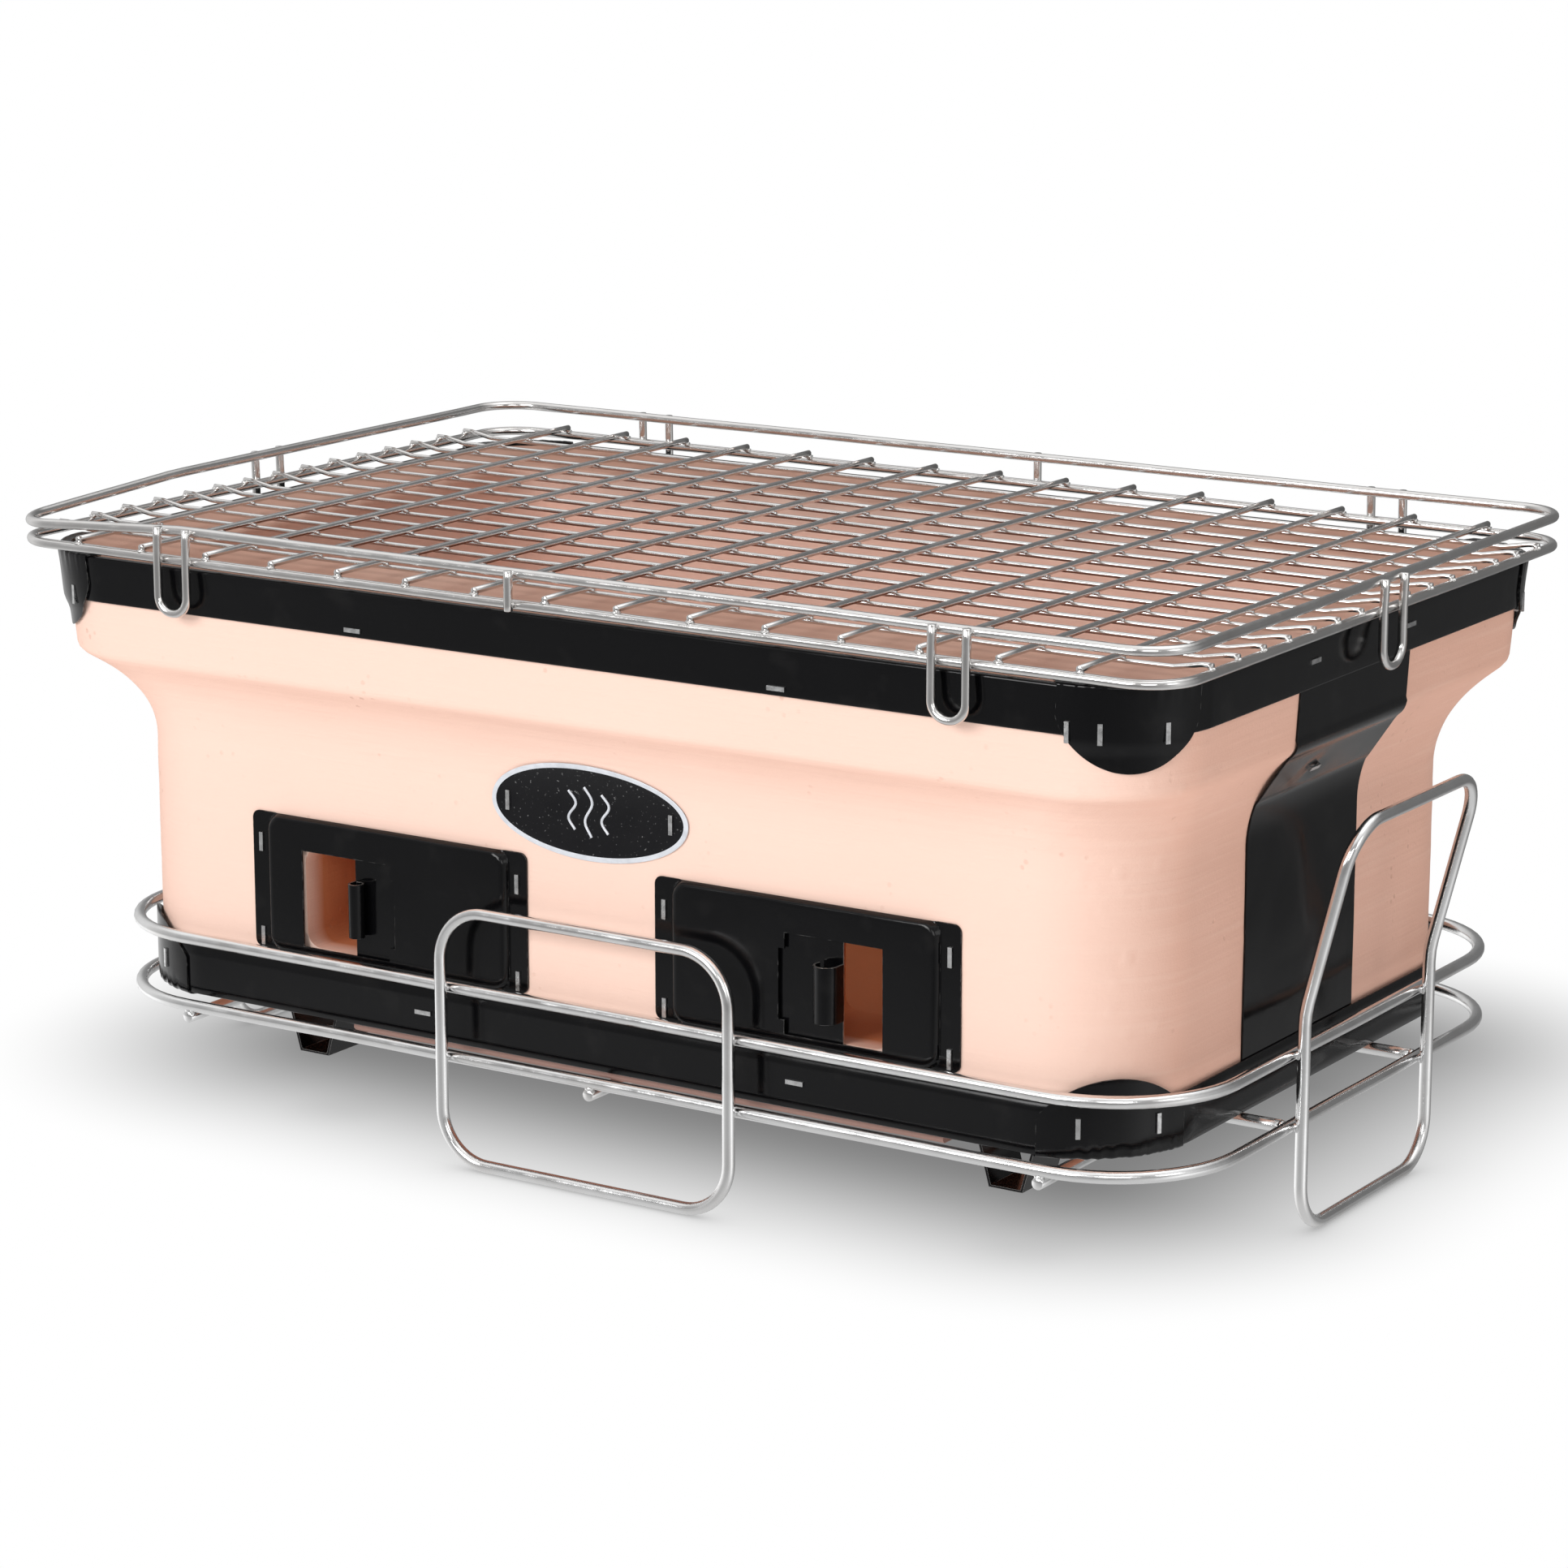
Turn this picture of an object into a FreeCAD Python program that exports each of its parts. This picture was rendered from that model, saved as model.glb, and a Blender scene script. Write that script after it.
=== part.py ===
import FreeCAD, Part
import math
import os

# Clay charcoal hibachi in a chromed wire carrier.  Millimetres, +Z up, X along the long side,
# -Y towards the vent side.  The origin is on the floor under the centre of the carrier.

V = FreeCAD.Vector

# ---------------------------------------------------------------- driving dimensions

# wire carrier
CARRIER_WIRE = 4.5            # wire diameter
CARRIER_LENGTH = 456.0        # centre line of the two loops, along X
CARRIER_DEPTH = 272.0
CARRIER_CORNER = 46.0
LOWER_LOOP_Z = 39.2
UPPER_LOOP_Z = 64.7
LEG_WIDTH = 122.0             # front and back leg hoops
LEG_TOP_Z = 94.6
LEG_CORNER = 19.0
HANDLE_WIDTH = 97.0           # end hoops, which are leg and handle in one
HANDLE_BEND_Z = 79.5
HANDLE_TOP_Z = 146.0
HANDLE_LEAN = 17.0            # how far the hand bar stands out from the upright legs
HANDLE_CORNER = 17.0
SUPPORT_SPREAD = 100.0        # distance between the two wires that the firebox stands on
CROSS_SPREAD = 361.0          # distance between the two outer front-to-back wires

# clay firebox
BODY_X = -5.5                 # the firebox stands a little left of the carrier's centre
CLAY_LENGTH = 469.0           # at the rim
CLAY_DEPTH = 299.0
CLAY_CORNER = 34.0
CLAY_BOTTOM_Z = 41.6
CLAY_TOP_Z = 205.9
LIP_Z = 171.4                 # lower end of the straight rim
LIP_INSET = 2.0
LIP_UNDER_Z = 166.6           # upper end of the cove
LIP_UNDER_INSET = 5.0
COVE_END_Z = 134.0            # where the cove runs into the upright wall
WALL_INSET_ENDS = 19.5
WALL_INSET_SIDES = 21.5
WALL_CORNER_GROWTH = 7.0      # the corner radius grows by this from the rim to the wall
CAVITY_LENGTH = 388.0
CAVITY_DEPTH = 202.0
CAVITY_CORNER = 14.0
CAVITY_FLOOR_Z = 66.0
GRATE_SHELF_Z = 112.0         # step that carries the charcoal grate
GRATE_SHELF = 10.0            # width of that step

# sheet metal
SHEET = 0.8
BAND_GAP = 0.9                # the bands stand off the clay, which leaves room for the end straps
HAIR = 0.05                   # clearance between parts that touch
RIM_BAND_BOTTOM_Z = 190.0
BAND_FOLD = 1.2               # how far the rim band folds in over the clay
BASE_BAND_TOP_Z = 60.1
CAP_HALF_WIDTH = 23.0         # rim corner cap, half its width seen along the corner's diagonal
CAP_BOTTOM_Z = 178.0
CAP_SHOULDER_Z = 196.0
CAP_SHIFT = {("front", "right"): 4.0}   # this cap sits further round towards the long side
BASE_CAP_HALF_WIDTH = 25.5
BASE_CAP_TOP_Z = 68.6
BASE_CAP_SHOULDER_Z = 55.0
CAP_FOLD = 5.0                # how far a cap folds in over the rim or under the base
STRAP_WIDTH = 83.0
STRAP_Y = -9.0                # the straps sit a little towards the vent side
STRAP_TUCK = 6.0              # how far below the rim a strap starts, under the band
STRAP_LIP_GAP = 0.25          # the strap clears the lip it is bent over
STRAP_END = 4.0               # how far above the base it stops

# vents: plate centre, opening centre, door's leading edge, side the door's leading edge faces
VENTS = {
    "left": {"plate": -92.6, "opening": -110.1, "door_edge": -106.6, "side": -1},
    "right": {"plate": 84.4, "opening": 97.2, "door_edge": 100.4, "side": 1},
}
PLATE_WIDTH = 122.6
PLATE_BOTTOM_Z = 64.4
PLATE_TOP_Z = 115.6
PANEL_WIDTH = 106.6           # the raised middle of the plate
PANEL_RISE = 3.2
OPENING_WIDTH = 39.0
OPENING_BOTTOM_Z = 68.0
OPENING_TOP_Z = 103.7
OPENING_CORNER = 6.0          # of the hole in the clay
TUNNEL_GROWTH = 0.8           # the hole in the clay is this much larger all round
TAB_RECESS = 2.5              # the opening's inner edge steps back here, so the tab can pass
TAB_ROOM = 2.5                # and this far above and below the tab
DOOR_WIDTH = 50.0
DOOR_STAND_OFF = 1.7          # from the wall to the door's outer face
DOOR_PLAY = 0.5               # above and below the door, inside the plate
TAB_HEIGHT = 20.0
TAB_Z = 85.6
TAB_LEG = 3.4
CURL = {"left": (2.9, 300.0), "right": (4.6, 205.0)}   # radius and sweep of each finger tab

BADGE_X = -4.3
BADGE_Z = 134.2
BADGE_LENGTH = 83.0
BADGE_HEIGHT = 35.0
BADGE_SHEET = 0.6
BADGE_GAP = 0.2
BADGE_STAPLE_REACH = 34.4     # from the badge's middle

FEET_X = (-133.0, 160.0)
FOOT_TOP_WIDTH = 22.0
FOOT_BOTTOM_WIDTH = 13.0
FOOT_HEIGHT = 16.6
FOOT_LENGTH = 22.0
FOOT_FLANGE = 7.0
FOOT_SET_BACK = 5.5           # from the foot's open end to the wall's outer face

# staples: a flat crown with two legs driven into the clay
STAPLE_LENGTH = 7.0
STAPLE_WIDTH = 1.6
STAPLE_CROWN = 0.7
STAPLE_LEG = 6.0
RIM_STAPLE_Z = 192.6
RIM_STAPLE_X = (-83.5, 92.5)
RIM_END_STAPLE_Z = 199.5
BASE_STAPLE_Z = 51.0
BASE_STAPLE_X = (-71.5, 86.5)
BASE_END_STAPLE_Z = 54.5
END_STAPLE_Y = (-44.0, 28.5)
RIM_CAP_STAPLE_Z = 191.5
RIM_CAP_STAPLES = (15.0, 69.0)          # angles round the corner from the end face
SHIFTED_CAP_STAPLES = (34.0, 68.0, 85.0)
BASE_CAP_STAPLE_Z = 52.0
BASE_CAP_STAPLES = (25.0, 62.0)
STRAP_STAPLE_Y = -18.7
STRAP_STAPLE_Z = 157.5

# cooking grate
GRATE_X = -5.2                # the cooking grate hangs over the firebox
RAIL_LENGTH = 480.0
RAIL_DEPTH = 304.0
LOOP_LENGTH = 479.2
LOOP_DEPTH = 304.5
LOOP_CORNER = 18.0
LOOP_WIRE = 3.5
LOOP_Z = 209.8
RAIL_Z = 220.6
LONG_WIRE = 1.8
LONG_WIRE_COUNT = 15
LONG_WIRE_PITCH = 17.8
LONG_WIRE_CRANK = 10.0        # its ends step up on to the loop over this length
CROSS_WIRE = 2.4
CROSS_WIRE_COUNT = 15
CROSS_WIRE_PITCH = 29.6
HANGER_WIRE = 3.2
HANGER_BOTTOM_Z = 191.0
HANGER_SPACING = 13.0
HANGER_KNEE = 6.0             # bend radius where a hanger passes the loop
FRONT_HANGER_X = 161.0
BACK_HANGER_X = 165.0
END_HANGER_SPACING = 15.0
HANGER_TOP = 1.2              # hangers and posts end this far above the rail's centre
POST_X = {"front": -13.0, "back": 15.0}

# charcoal grate
COAL_WIRE = 5.0
COAL_BAR = 4.0
COAL_CLEARANCE = 2.0
COAL_CORNER = 14.0
COAL_BAR_PITCH = 16.0

# ---------------------------------------------------------------- wire work


def unit(vector):
    return V(vector).normalize()


def corner_arc(before, corner, after, radius):
    """The arc that rounds a corner, as its start, middle and end points."""
    back = unit(before - corner)
    ahead = unit(after - corner)
    half = back.getAngle(ahead) / 2
    towards_centre = unit(back + ahead)
    centre = corner + towards_centre * (radius / math.sin(half))
    reach = radius / math.tan(half)
    return corner + back * reach, centre - towards_centre * radius, corner + ahead * reach


def bent_path(points, radii, closed):
    """Straight legs through the points, with a bend of the given radius at each corner."""
    count = len(points)
    arcs = {}
    for i in range(count):
        if closed or 0 < i < count - 1:
            arcs[i] = corner_arc(points[i - 1], points[i], points[(i + 1) % count], radii[i])
    edges = []
    for i in range(count if closed else count - 1):
        following = (i + 1) % count
        start = arcs[i][2] if i in arcs else points[i]
        end = arcs[following][0] if following in arcs else points[following]
        edges.append(Part.LineSegment(start, end).toShape())
        if following in arcs:
            edges.append(Part.Arc(*arcs[following]).toShape())
    return Part.Wire(edges)


def bent_wire(points, radii, diameter, closed=False):
    """Round wire bent along a path; a closed ring is butt-welded."""
    path = bent_path(points, radii, closed)
    start = path.Edges[0].valueAt(path.Edges[0].FirstParameter)
    along = path.Edges[0].tangentAt(path.Edges[0].FirstParameter)
    section = Part.Wire(Part.makeCircle(diameter / 2, start, along))
    swept = path.makePipeShell([section], True, False)
    if swept.ShapeType != "Solid":
        swept = Part.Solid(swept)
    return swept


def ring(length, depth, corner, z, diameter, centre_x=0.0):
    """A horizontal rounded-rectangle ring of wire."""
    x = length / 2
    y = depth / 2
    points = [V(centre_x - x, -y, z), V(centre_x + x, -y, z), V(centre_x + x, y, z), V(centre_x - x, y, z)]
    return bent_wire(points, [corner] * 4, diameter, closed=True)


def straight_wire(start, end, diameter):
    length = (end - start).Length
    return Part.makeCylinder(diameter / 2, length, start, end - start)


def side_offset(wire_a, wire_b, bite=0.3):
    """Centre distance of two welded wires that lie against each other."""
    return (wire_a + wire_b) / 2 - bite


# ---------------------------------------------------------------- carrier


def carrier_loop(z):
    return ring(CARRIER_LENGTH, CARRIER_DEPTH, CARRIER_CORNER, z, CARRIER_WIRE)


def leg_hoop(side):
    """Upright rounded hoop welded to the outside of both loops; its lower bar stands on the floor."""
    y = side * (CARRIER_DEPTH / 2 + side_offset(CARRIER_WIRE, CARRIER_WIRE, 0.1))
    x = LEG_WIDTH / 2
    low = CARRIER_WIRE / 2
    points = [V(-x, y, low), V(x, y, low), V(x, y, LEG_TOP_Z), V(-x, y, LEG_TOP_Z)]
    return bent_wire(points, [LEG_CORNER] * 4, CARRIER_WIRE, closed=True)


def handle_hoop(side):
    """End hoop: upright legs, then a lean outwards up to the hand bar."""
    x = side * (CARRIER_LENGTH / 2 + side_offset(CARRIER_WIRE, CARRIER_WIRE, 0.1))
    top_x = x + side * HANDLE_LEAN
    y = HANDLE_WIDTH / 2
    low = CARRIER_WIRE / 2
    points = [
        V(x, -y, low),
        V(x, y, low),
        V(x, y, HANDLE_BEND_Z),
        V(top_x, y, HANDLE_TOP_Z),
        V(top_x, -y, HANDLE_TOP_Z),
        V(x, -y, HANDLE_BEND_Z),
    ]
    bend = HANDLE_CORNER * 2
    radii = [HANDLE_CORNER, HANDLE_CORNER, bend, HANDLE_CORNER, HANDLE_CORNER, bend]
    return bent_wire(points, radii, CARRIER_WIRE, closed=True)


def support_wires():
    """Two wires along X, butted between the lower loop's ends, that the firebox stands on."""
    reach = CARRIER_LENGTH / 2 - side_offset(CARRIER_WIRE, CARRIER_WIRE, 2.3)
    wires = []
    for y in (-SUPPORT_SPREAD / 2, SUPPORT_SPREAD / 2):
        wires.append(straight_wire(V(-reach, y, LOWER_LOOP_Z), V(reach, y, LOWER_LOOP_Z), CARRIER_WIRE))
    return Part.makeCompound(wires)


def cross_wires():
    """Three front-to-back wires welded under the lower loop."""
    reach = CARRIER_DEPTH / 2 + 1.5
    z = LOWER_LOOP_Z - side_offset(CARRIER_WIRE, CARRIER_WIRE, 0.1)
    wires = []
    for x in (-CROSS_SPREAD / 2, 0.0, CROSS_SPREAD / 2):
        wires.append(straight_wire(V(x, -reach, z), V(x, reach, z), CARRIER_WIRE))
    return Part.makeCompound(wires)


# ---------------------------------------------------------------- clay body outline


def cove_share(z):
    """Share of the cove's depth reached at height z: a round arc that runs tangent into the wall."""
    height = LIP_UNDER_Z - COVE_END_Z
    depth = WALL_INSET_ENDS - LIP_UNDER_INSET
    radius = (height ** 2 + depth ** 2) / (2 * depth)
    return 1 - (radius - math.sqrt(radius ** 2 - (z - COVE_END_Z) ** 2)) / depth


def clay_inset(z, wall_inset):
    """How far the clay's face stands in from the rim's outer edge at height z."""
    if z >= LIP_Z:
        return LIP_INSET * (CLAY_TOP_Z - z) / (CLAY_TOP_Z - LIP_Z)
    if z > LIP_UNDER_Z:
        share = (LIP_Z - z) / (LIP_Z - LIP_UNDER_Z)
        return LIP_INSET + (LIP_UNDER_INSET - LIP_INSET) * share ** 2
    if z > COVE_END_Z:
        return LIP_UNDER_INSET + (wall_inset - LIP_UNDER_INSET) * cove_share(z)
    return wall_inset


def outline(length, depth, corner, z, centre_x):
    """Closed rounded rectangle at height z."""
    x = length / 2
    y = depth / 2
    points = [V(centre_x - x, -y, z), V(centre_x + x, -y, z), V(centre_x + x, y, z), V(centre_x - x, y, z)]
    return bent_path(points, [corner] * 4, True)


def clay_outline(z, stand_off=0.0):
    """The clay's outer outline at height z, grown outwards by stand_off."""
    ends = clay_inset(z, WALL_INSET_ENDS)
    sides = clay_inset(z, WALL_INSET_SIDES)
    corner = CLAY_CORNER + WALL_CORNER_GROWTH * ends / WALL_INSET_ENDS
    return outline(CLAY_LENGTH - 2 * ends + 2 * stand_off, CLAY_DEPTH - 2 * sides + 2 * stand_off,
                   corner + stand_off, z, BODY_X)


def block(z_low, z_high, low_stand_off, high_stand_off=None):
    """Solid between two heights whose faces follow the clay, for a stretch with straight sides."""
    if high_stand_off is None:
        high_stand_off = low_stand_off
    sections = [clay_outline(z_low, low_stand_off), clay_outline(z_high, high_stand_off)]
    return Part.makeLoft(sections, True, True)


def skin(z_low, z_high, inner, outer):
    """Sheet that wraps the clay between two heights and two stand-offs."""
    return block(z_low, z_high, outer).cut(block(z_low, z_high, inner))


def box(low, high):
    return Part.makeBox(high[0] - low[0], high[1] - low[1], high[2] - low[2], V(*low))


# ---------------------------------------------------------------- clay body


def clay_outer():
    wall = block(CLAY_BOTTOM_Z, COVE_END_Z, 0.0)
    steps = 8
    heights = [COVE_END_Z + (LIP_UNDER_Z - COVE_END_Z) * i / steps for i in range(steps + 1)]
    cove = Part.makeLoft([clay_outline(z) for z in heights], True, False)
    lip_mid = (LIP_Z + LIP_UNDER_Z) / 2
    lip = Part.makeLoft([clay_outline(z) for z in (LIP_UNDER_Z, lip_mid, LIP_Z)], True, False)
    rim = block(LIP_Z, CLAY_TOP_Z, 0.0)
    return wall.fuse(cove).fuse(lip).fuse(rim).removeSplitter()


def cavity(length, depth, z_low, z_high):
    face = Part.Face(outline(length, depth, CAVITY_CORNER, z_low, BODY_X))
    return face.extrude(V(0, 0, z_high - z_low))


def vent_tunnel(vent):
    """The hole through the front wall behind a vent plate, with rounded corners."""
    half = OPENING_WIDTH / 2 + TUNNEL_GROWTH
    depth = CLAY_DEPTH / 2
    low_z = OPENING_BOTTOM_Z - TUNNEL_GROWTH
    high_z = OPENING_TOP_Z + TUNNEL_GROWTH
    front = -depth
    x = vent["opening"]
    points = [V(x - half, front, low_z), V(x + half, front, low_z),
              V(x + half, front, high_z), V(x - half, front, high_z)]
    face = Part.Face(bent_path(points, [OPENING_CORNER] * 4, True))
    return face.extrude(V(0, depth - CAVITY_DEPTH / 2 + 2 * GRATE_SHELF, 0))


def clay_body():
    body = clay_outer()
    body = body.cut(cavity(CAVITY_LENGTH, CAVITY_DEPTH, GRATE_SHELF_Z, CLAY_TOP_Z + 1))
    shelf = 2 * GRATE_SHELF
    body = body.cut(cavity(CAVITY_LENGTH - shelf, CAVITY_DEPTH - shelf, CAVITY_FLOOR_Z, GRATE_SHELF_Z))
    for vent in VENTS.values():
        body = body.cut(vent_tunnel(vent))
    return body


# ---------------------------------------------------------------- bands, caps, straps


def rim_band():
    """Tapered hoop round the rim with a narrow fold over the clay's top edge."""
    upright = skin(RIM_BAND_BOTTOM_Z, CLAY_TOP_Z, BAND_GAP, BAND_GAP + SHEET)
    top = CLAY_TOP_Z + HAIR
    outer = Part.Face(clay_outline(CLAY_TOP_Z, BAND_GAP + SHEET))
    inner = Part.Face(clay_outline(CLAY_TOP_Z, -BAND_FOLD))
    fold = outer.cut(inner).extrude(V(0, 0, SHEET))
    fold.translate(V(0, 0, HAIR))
    bridge = skin(CLAY_TOP_Z - 1, top, BAND_GAP, BAND_GAP + SHEET)
    return upright.fuse(bridge).fuse(fold).removeSplitter()


def base_band():
    return skin(CLAY_BOTTOM_Z, BASE_BAND_TOP_Z, BAND_GAP, BAND_GAP + SHEET)


def lobed_prism(corner, towards_side, half_width, shoulder_z, tip_z, flat_z):
    """Prism along a corner's diagonal: straight sides from flat_z to shoulder_z, a round lobe to tip_z.

    corner is the corner's x and y, towards_side moves the prism round towards the long side.
    """
    side_x = math.copysign(1, corner[0])
    side_y = math.copysign(1, corner[1])
    inwards = unit(V(-side_x, -side_y, 0))
    across = unit(V(-side_x, side_y, 0))
    outside = 10.0
    base = V(BODY_X + corner[0], corner[1], 0) - inwards * outside + across * towards_side

    def point(sideways, z):
        return base + across * sideways + V(0, 0, z)

    left_top = point(-half_width, flat_z)
    left_shoulder = point(-half_width, shoulder_z)
    right_shoulder = point(half_width, shoulder_z)
    right_top = point(half_width, flat_z)
    edges = [
        Part.LineSegment(right_shoulder, right_top).toShape(),
        Part.LineSegment(right_top, left_top).toShape(),
        Part.LineSegment(left_top, left_shoulder).toShape(),
        Part.Arc(left_shoulder, point(0, tip_z), right_shoulder).toShape(),
    ]
    depth = 50.0
    return Part.Face(Part.Wire(edges)).extrude(inwards * (outside + depth))


def corner_ring(z, stand_off, fold, thickness):
    """Flat ring that a cap folds over the rim or under the base."""
    outer = Part.Face(clay_outline(z, stand_off))
    inner = Part.Face(clay_outline(z, stand_off - fold))
    return outer.cut(inner).extrude(V(0, 0, thickness))


def rim_cap(side_x, side_y, shift):
    """Sheet wrapped round a rim corner: folded over the rim, lobed skirt that closes on the clay below."""
    inner = BAND_GAP + SHEET + HAIR
    outer = inner + SHEET
    hug = 2 * HAIR
    bend_z = RIM_BAND_BOTTOM_Z - 1
    top = CLAY_TOP_Z + SHEET + 2 * HAIR
    below = CAP_BOTTOM_Z - 1
    skirt = block(below, bend_z, hug + SHEET, outer).cut(block(below, bend_z, hug, inner))
    upright = skin(bend_z, CLAY_TOP_Z, inner, outer)
    collar = skin(CLAY_TOP_Z - 0.5, top + SHEET / 2, inner, outer)
    fold = corner_ring(CLAY_TOP_Z, outer, CAP_FOLD, SHEET * 1.4)
    fold.translate(V(0, 0, top - CLAY_TOP_Z))
    whole = skirt.fuse([upright, collar, fold])
    corner = (side_x * CLAY_LENGTH / 2, side_y * CLAY_DEPTH / 2)
    prism = lobed_prism(corner, shift, CAP_HALF_WIDTH, CAP_SHOULDER_Z, CAP_BOTTOM_Z, top + 5)
    return whole.common(prism).removeSplitter()


def base_cap(side_x, side_y):
    """Sheet wrapped round a base corner: lobe above, crimped under the base below."""
    inner = BAND_GAP + SHEET + HAIR
    outer = inner + SHEET
    shell = skin(CLAY_BOTTOM_Z - SHEET, BASE_CAP_TOP_Z + 1, inner, outer)
    fold = corner_ring(CLAY_BOTTOM_Z, outer, CAP_FOLD, SHEET - HAIR)
    fold.translate(V(0, 0, -SHEET))
    whole = shell.fuse(fold)
    corner = (side_x * (CLAY_LENGTH / 2 - WALL_INSET_ENDS), side_y * (CLAY_DEPTH / 2 - WALL_INSET_SIDES))
    prism = lobed_prism(corner, 0.0, BASE_CAP_HALF_WIDTH, BASE_CAP_SHOULDER_Z,
                        BASE_CAP_TOP_Z, CLAY_BOTTOM_Z - 5)
    return whole.common(prism).removeSplitter()


def strap_inset(z):
    """The strap follows the rim, crosses the top of the cove in a straight slope, and follows the wall."""
    landing_z = COVE_END_Z + 16
    if z > LIP_Z + 1 or z <= landing_z:
        return clay_inset(z, WALL_INSET_ENDS)
    landing = clay_inset(landing_z, WALL_INSET_ENDS)
    down = (LIP_Z - z) / (LIP_Z - landing_z)
    chord = LIP_INSET + (landing - LIP_INSET) * down
    return min(chord, clay_inset(z, WALL_INSET_ENDS)) - STRAP_LIP_GAP


def strap_normal(z, side):
    """Direction the strap's outer face looks in at height z."""
    reach = 1.0
    lean = (strap_inset(z - reach) - strap_inset(z + reach)) / (2 * reach)
    return unit(V(side, 0, -lean))


def strap_point(z, side, stand_off):
    """Point on the strap's inner face, moved outwards by stand_off."""
    inner = V(BODY_X + side * (CLAY_LENGTH / 2 + HAIR - strap_inset(z)), 0, z)
    return inner + strap_normal(z, side) * stand_off


def end_strap(side):
    """Sheet strap down the end wall, held under the rim band and the base band."""
    lip_steps = 6
    cove_steps = 14
    heights = [CLAY_TOP_Z - STRAP_TUCK, LIP_Z + 2]
    heights += [LIP_Z - (LIP_Z - LIP_UNDER_Z) * i / lip_steps for i in range(lip_steps)]
    heights += [LIP_UNDER_Z - (LIP_UNDER_Z - COVE_END_Z) * i / cove_steps for i in range(cove_steps + 1)]
    heights.append(CLAY_BOTTOM_Z + STRAP_END)
    inner = [strap_point(z, side, 0.0) for z in heights]
    outer = [strap_point(z, side, SHEET) for z in heights]
    profile = Part.makePolygon(inner + outer[::-1] + [inner[0]])
    strap = Part.Face(profile).extrude(V(0, STRAP_WIDTH, 0))
    strap.translate(V(0, STRAP_Y - STRAP_WIDTH / 2, 0))
    return strap


# ---------------------------------------------------------------- vents

WALL_Y = -(CLAY_DEPTH / 2 - WALL_INSET_SIDES)    # outer face of the front wall
DOOR_Y = WALL_Y - DOOR_STAND_OFF                 # outer face of a vent door
PANEL_BEND = 1.6
FLANGE_CORNER = 3.0


def vent_plate(vent):
    """Pressed plate: a raised panel with the opening, and a stapled flange at each side."""
    centre = vent["plate"]
    back = WALL_Y - HAIR
    front = back - PANEL_RISE
    x = PANEL_WIDTH / 2
    panel = box((centre - x, front, PLATE_BOTTOM_Z), (centre + x, back, PLATE_TOP_Z))
    upright = [edge for edge in panel.Edges
               if edge.BoundBox.ZLength > 1 and edge.BoundBox.YMax < front + HAIR]
    panel = panel.makeFillet(PANEL_BEND, upright)
    hollow = box((centre - x + SHEET, front + SHEET, PLATE_BOTTOM_Z + SHEET),
                 (centre + x - SHEET, back + 1, PLATE_TOP_Z - SHEET))
    flange_x = PLATE_WIDTH / 2
    flange = box((centre - flange_x, back - SHEET, PLATE_BOTTOM_Z), (centre + flange_x, back, PLATE_TOP_Z))
    corners = [edge for edge in flange.Edges
               if edge.BoundBox.ZLength < HAIR and edge.BoundBox.XLength < HAIR]
    flange = flange.makeFillet(FLANGE_CORNER, corners)
    plate = flange.fuse(panel).cut(hollow)
    half = OPENING_WIDTH / 2
    opening = vent["opening"]
    plate = plate.cut(box((opening - half, front - 1, OPENING_BOTTOM_Z),
                          (opening + half, back + 1, OPENING_TOP_Z)))
    recess_end = opening - vent["side"] * (half + TAB_RECESS)
    recess = sorted((opening, recess_end))
    tab = TAB_HEIGHT / 2 + TAB_ROOM
    return plate.cut(box((recess[0], front - 1, TAB_Z - tab), (recess[1], back + 1, TAB_Z + tab)))


def finger_tab(side, edge, name):
    """The door's rolled finger tab: a short leg outwards, then a curl back towards the door."""
    radius, sweep = CURL[name]
    leg = box((min(edge, edge - side * SHEET), DOOR_Y - TAB_LEG, TAB_Z - TAB_HEIGHT / 2),
              (max(edge, edge - side * SHEET), DOOR_Y, TAB_Z + TAB_HEIGHT / 2))
    centre = V(edge - side * radius, DOOR_Y - TAB_LEG, TAB_Z - TAB_HEIGHT / 2)
    outer = Part.makeCylinder(radius, TAB_HEIGHT, centre, V(0, 0, 1), sweep)
    inner = Part.makeCylinder(radius - SHEET, TAB_HEIGHT, centre)
    curl = outer.cut(inner)
    # the cylinder's sweep starts at +X: turn it so that it leaves the end of the leg
    curl.rotate(centre, V(0, 0, 1), -sweep if side > 0 else 180)
    return leg.fuse(curl)


def vent_door(name):
    """Flat shutter that slides in the channel behind the plate, with its finger tab."""
    vent = VENTS[name]
    edge = vent["door_edge"]
    side = vent["side"]
    far = edge - side * DOOR_WIDTH
    clearance = SHEET + DOOR_PLAY
    sheet = box((min(edge, far), DOOR_Y, PLATE_BOTTOM_Z + clearance),
                (max(edge, far), DOOR_Y + SHEET, PLATE_TOP_Z - clearance))
    return sheet.fuse(finger_tab(side, edge, name)).removeSplitter()


# ---------------------------------------------------------------- badge and feet


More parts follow.
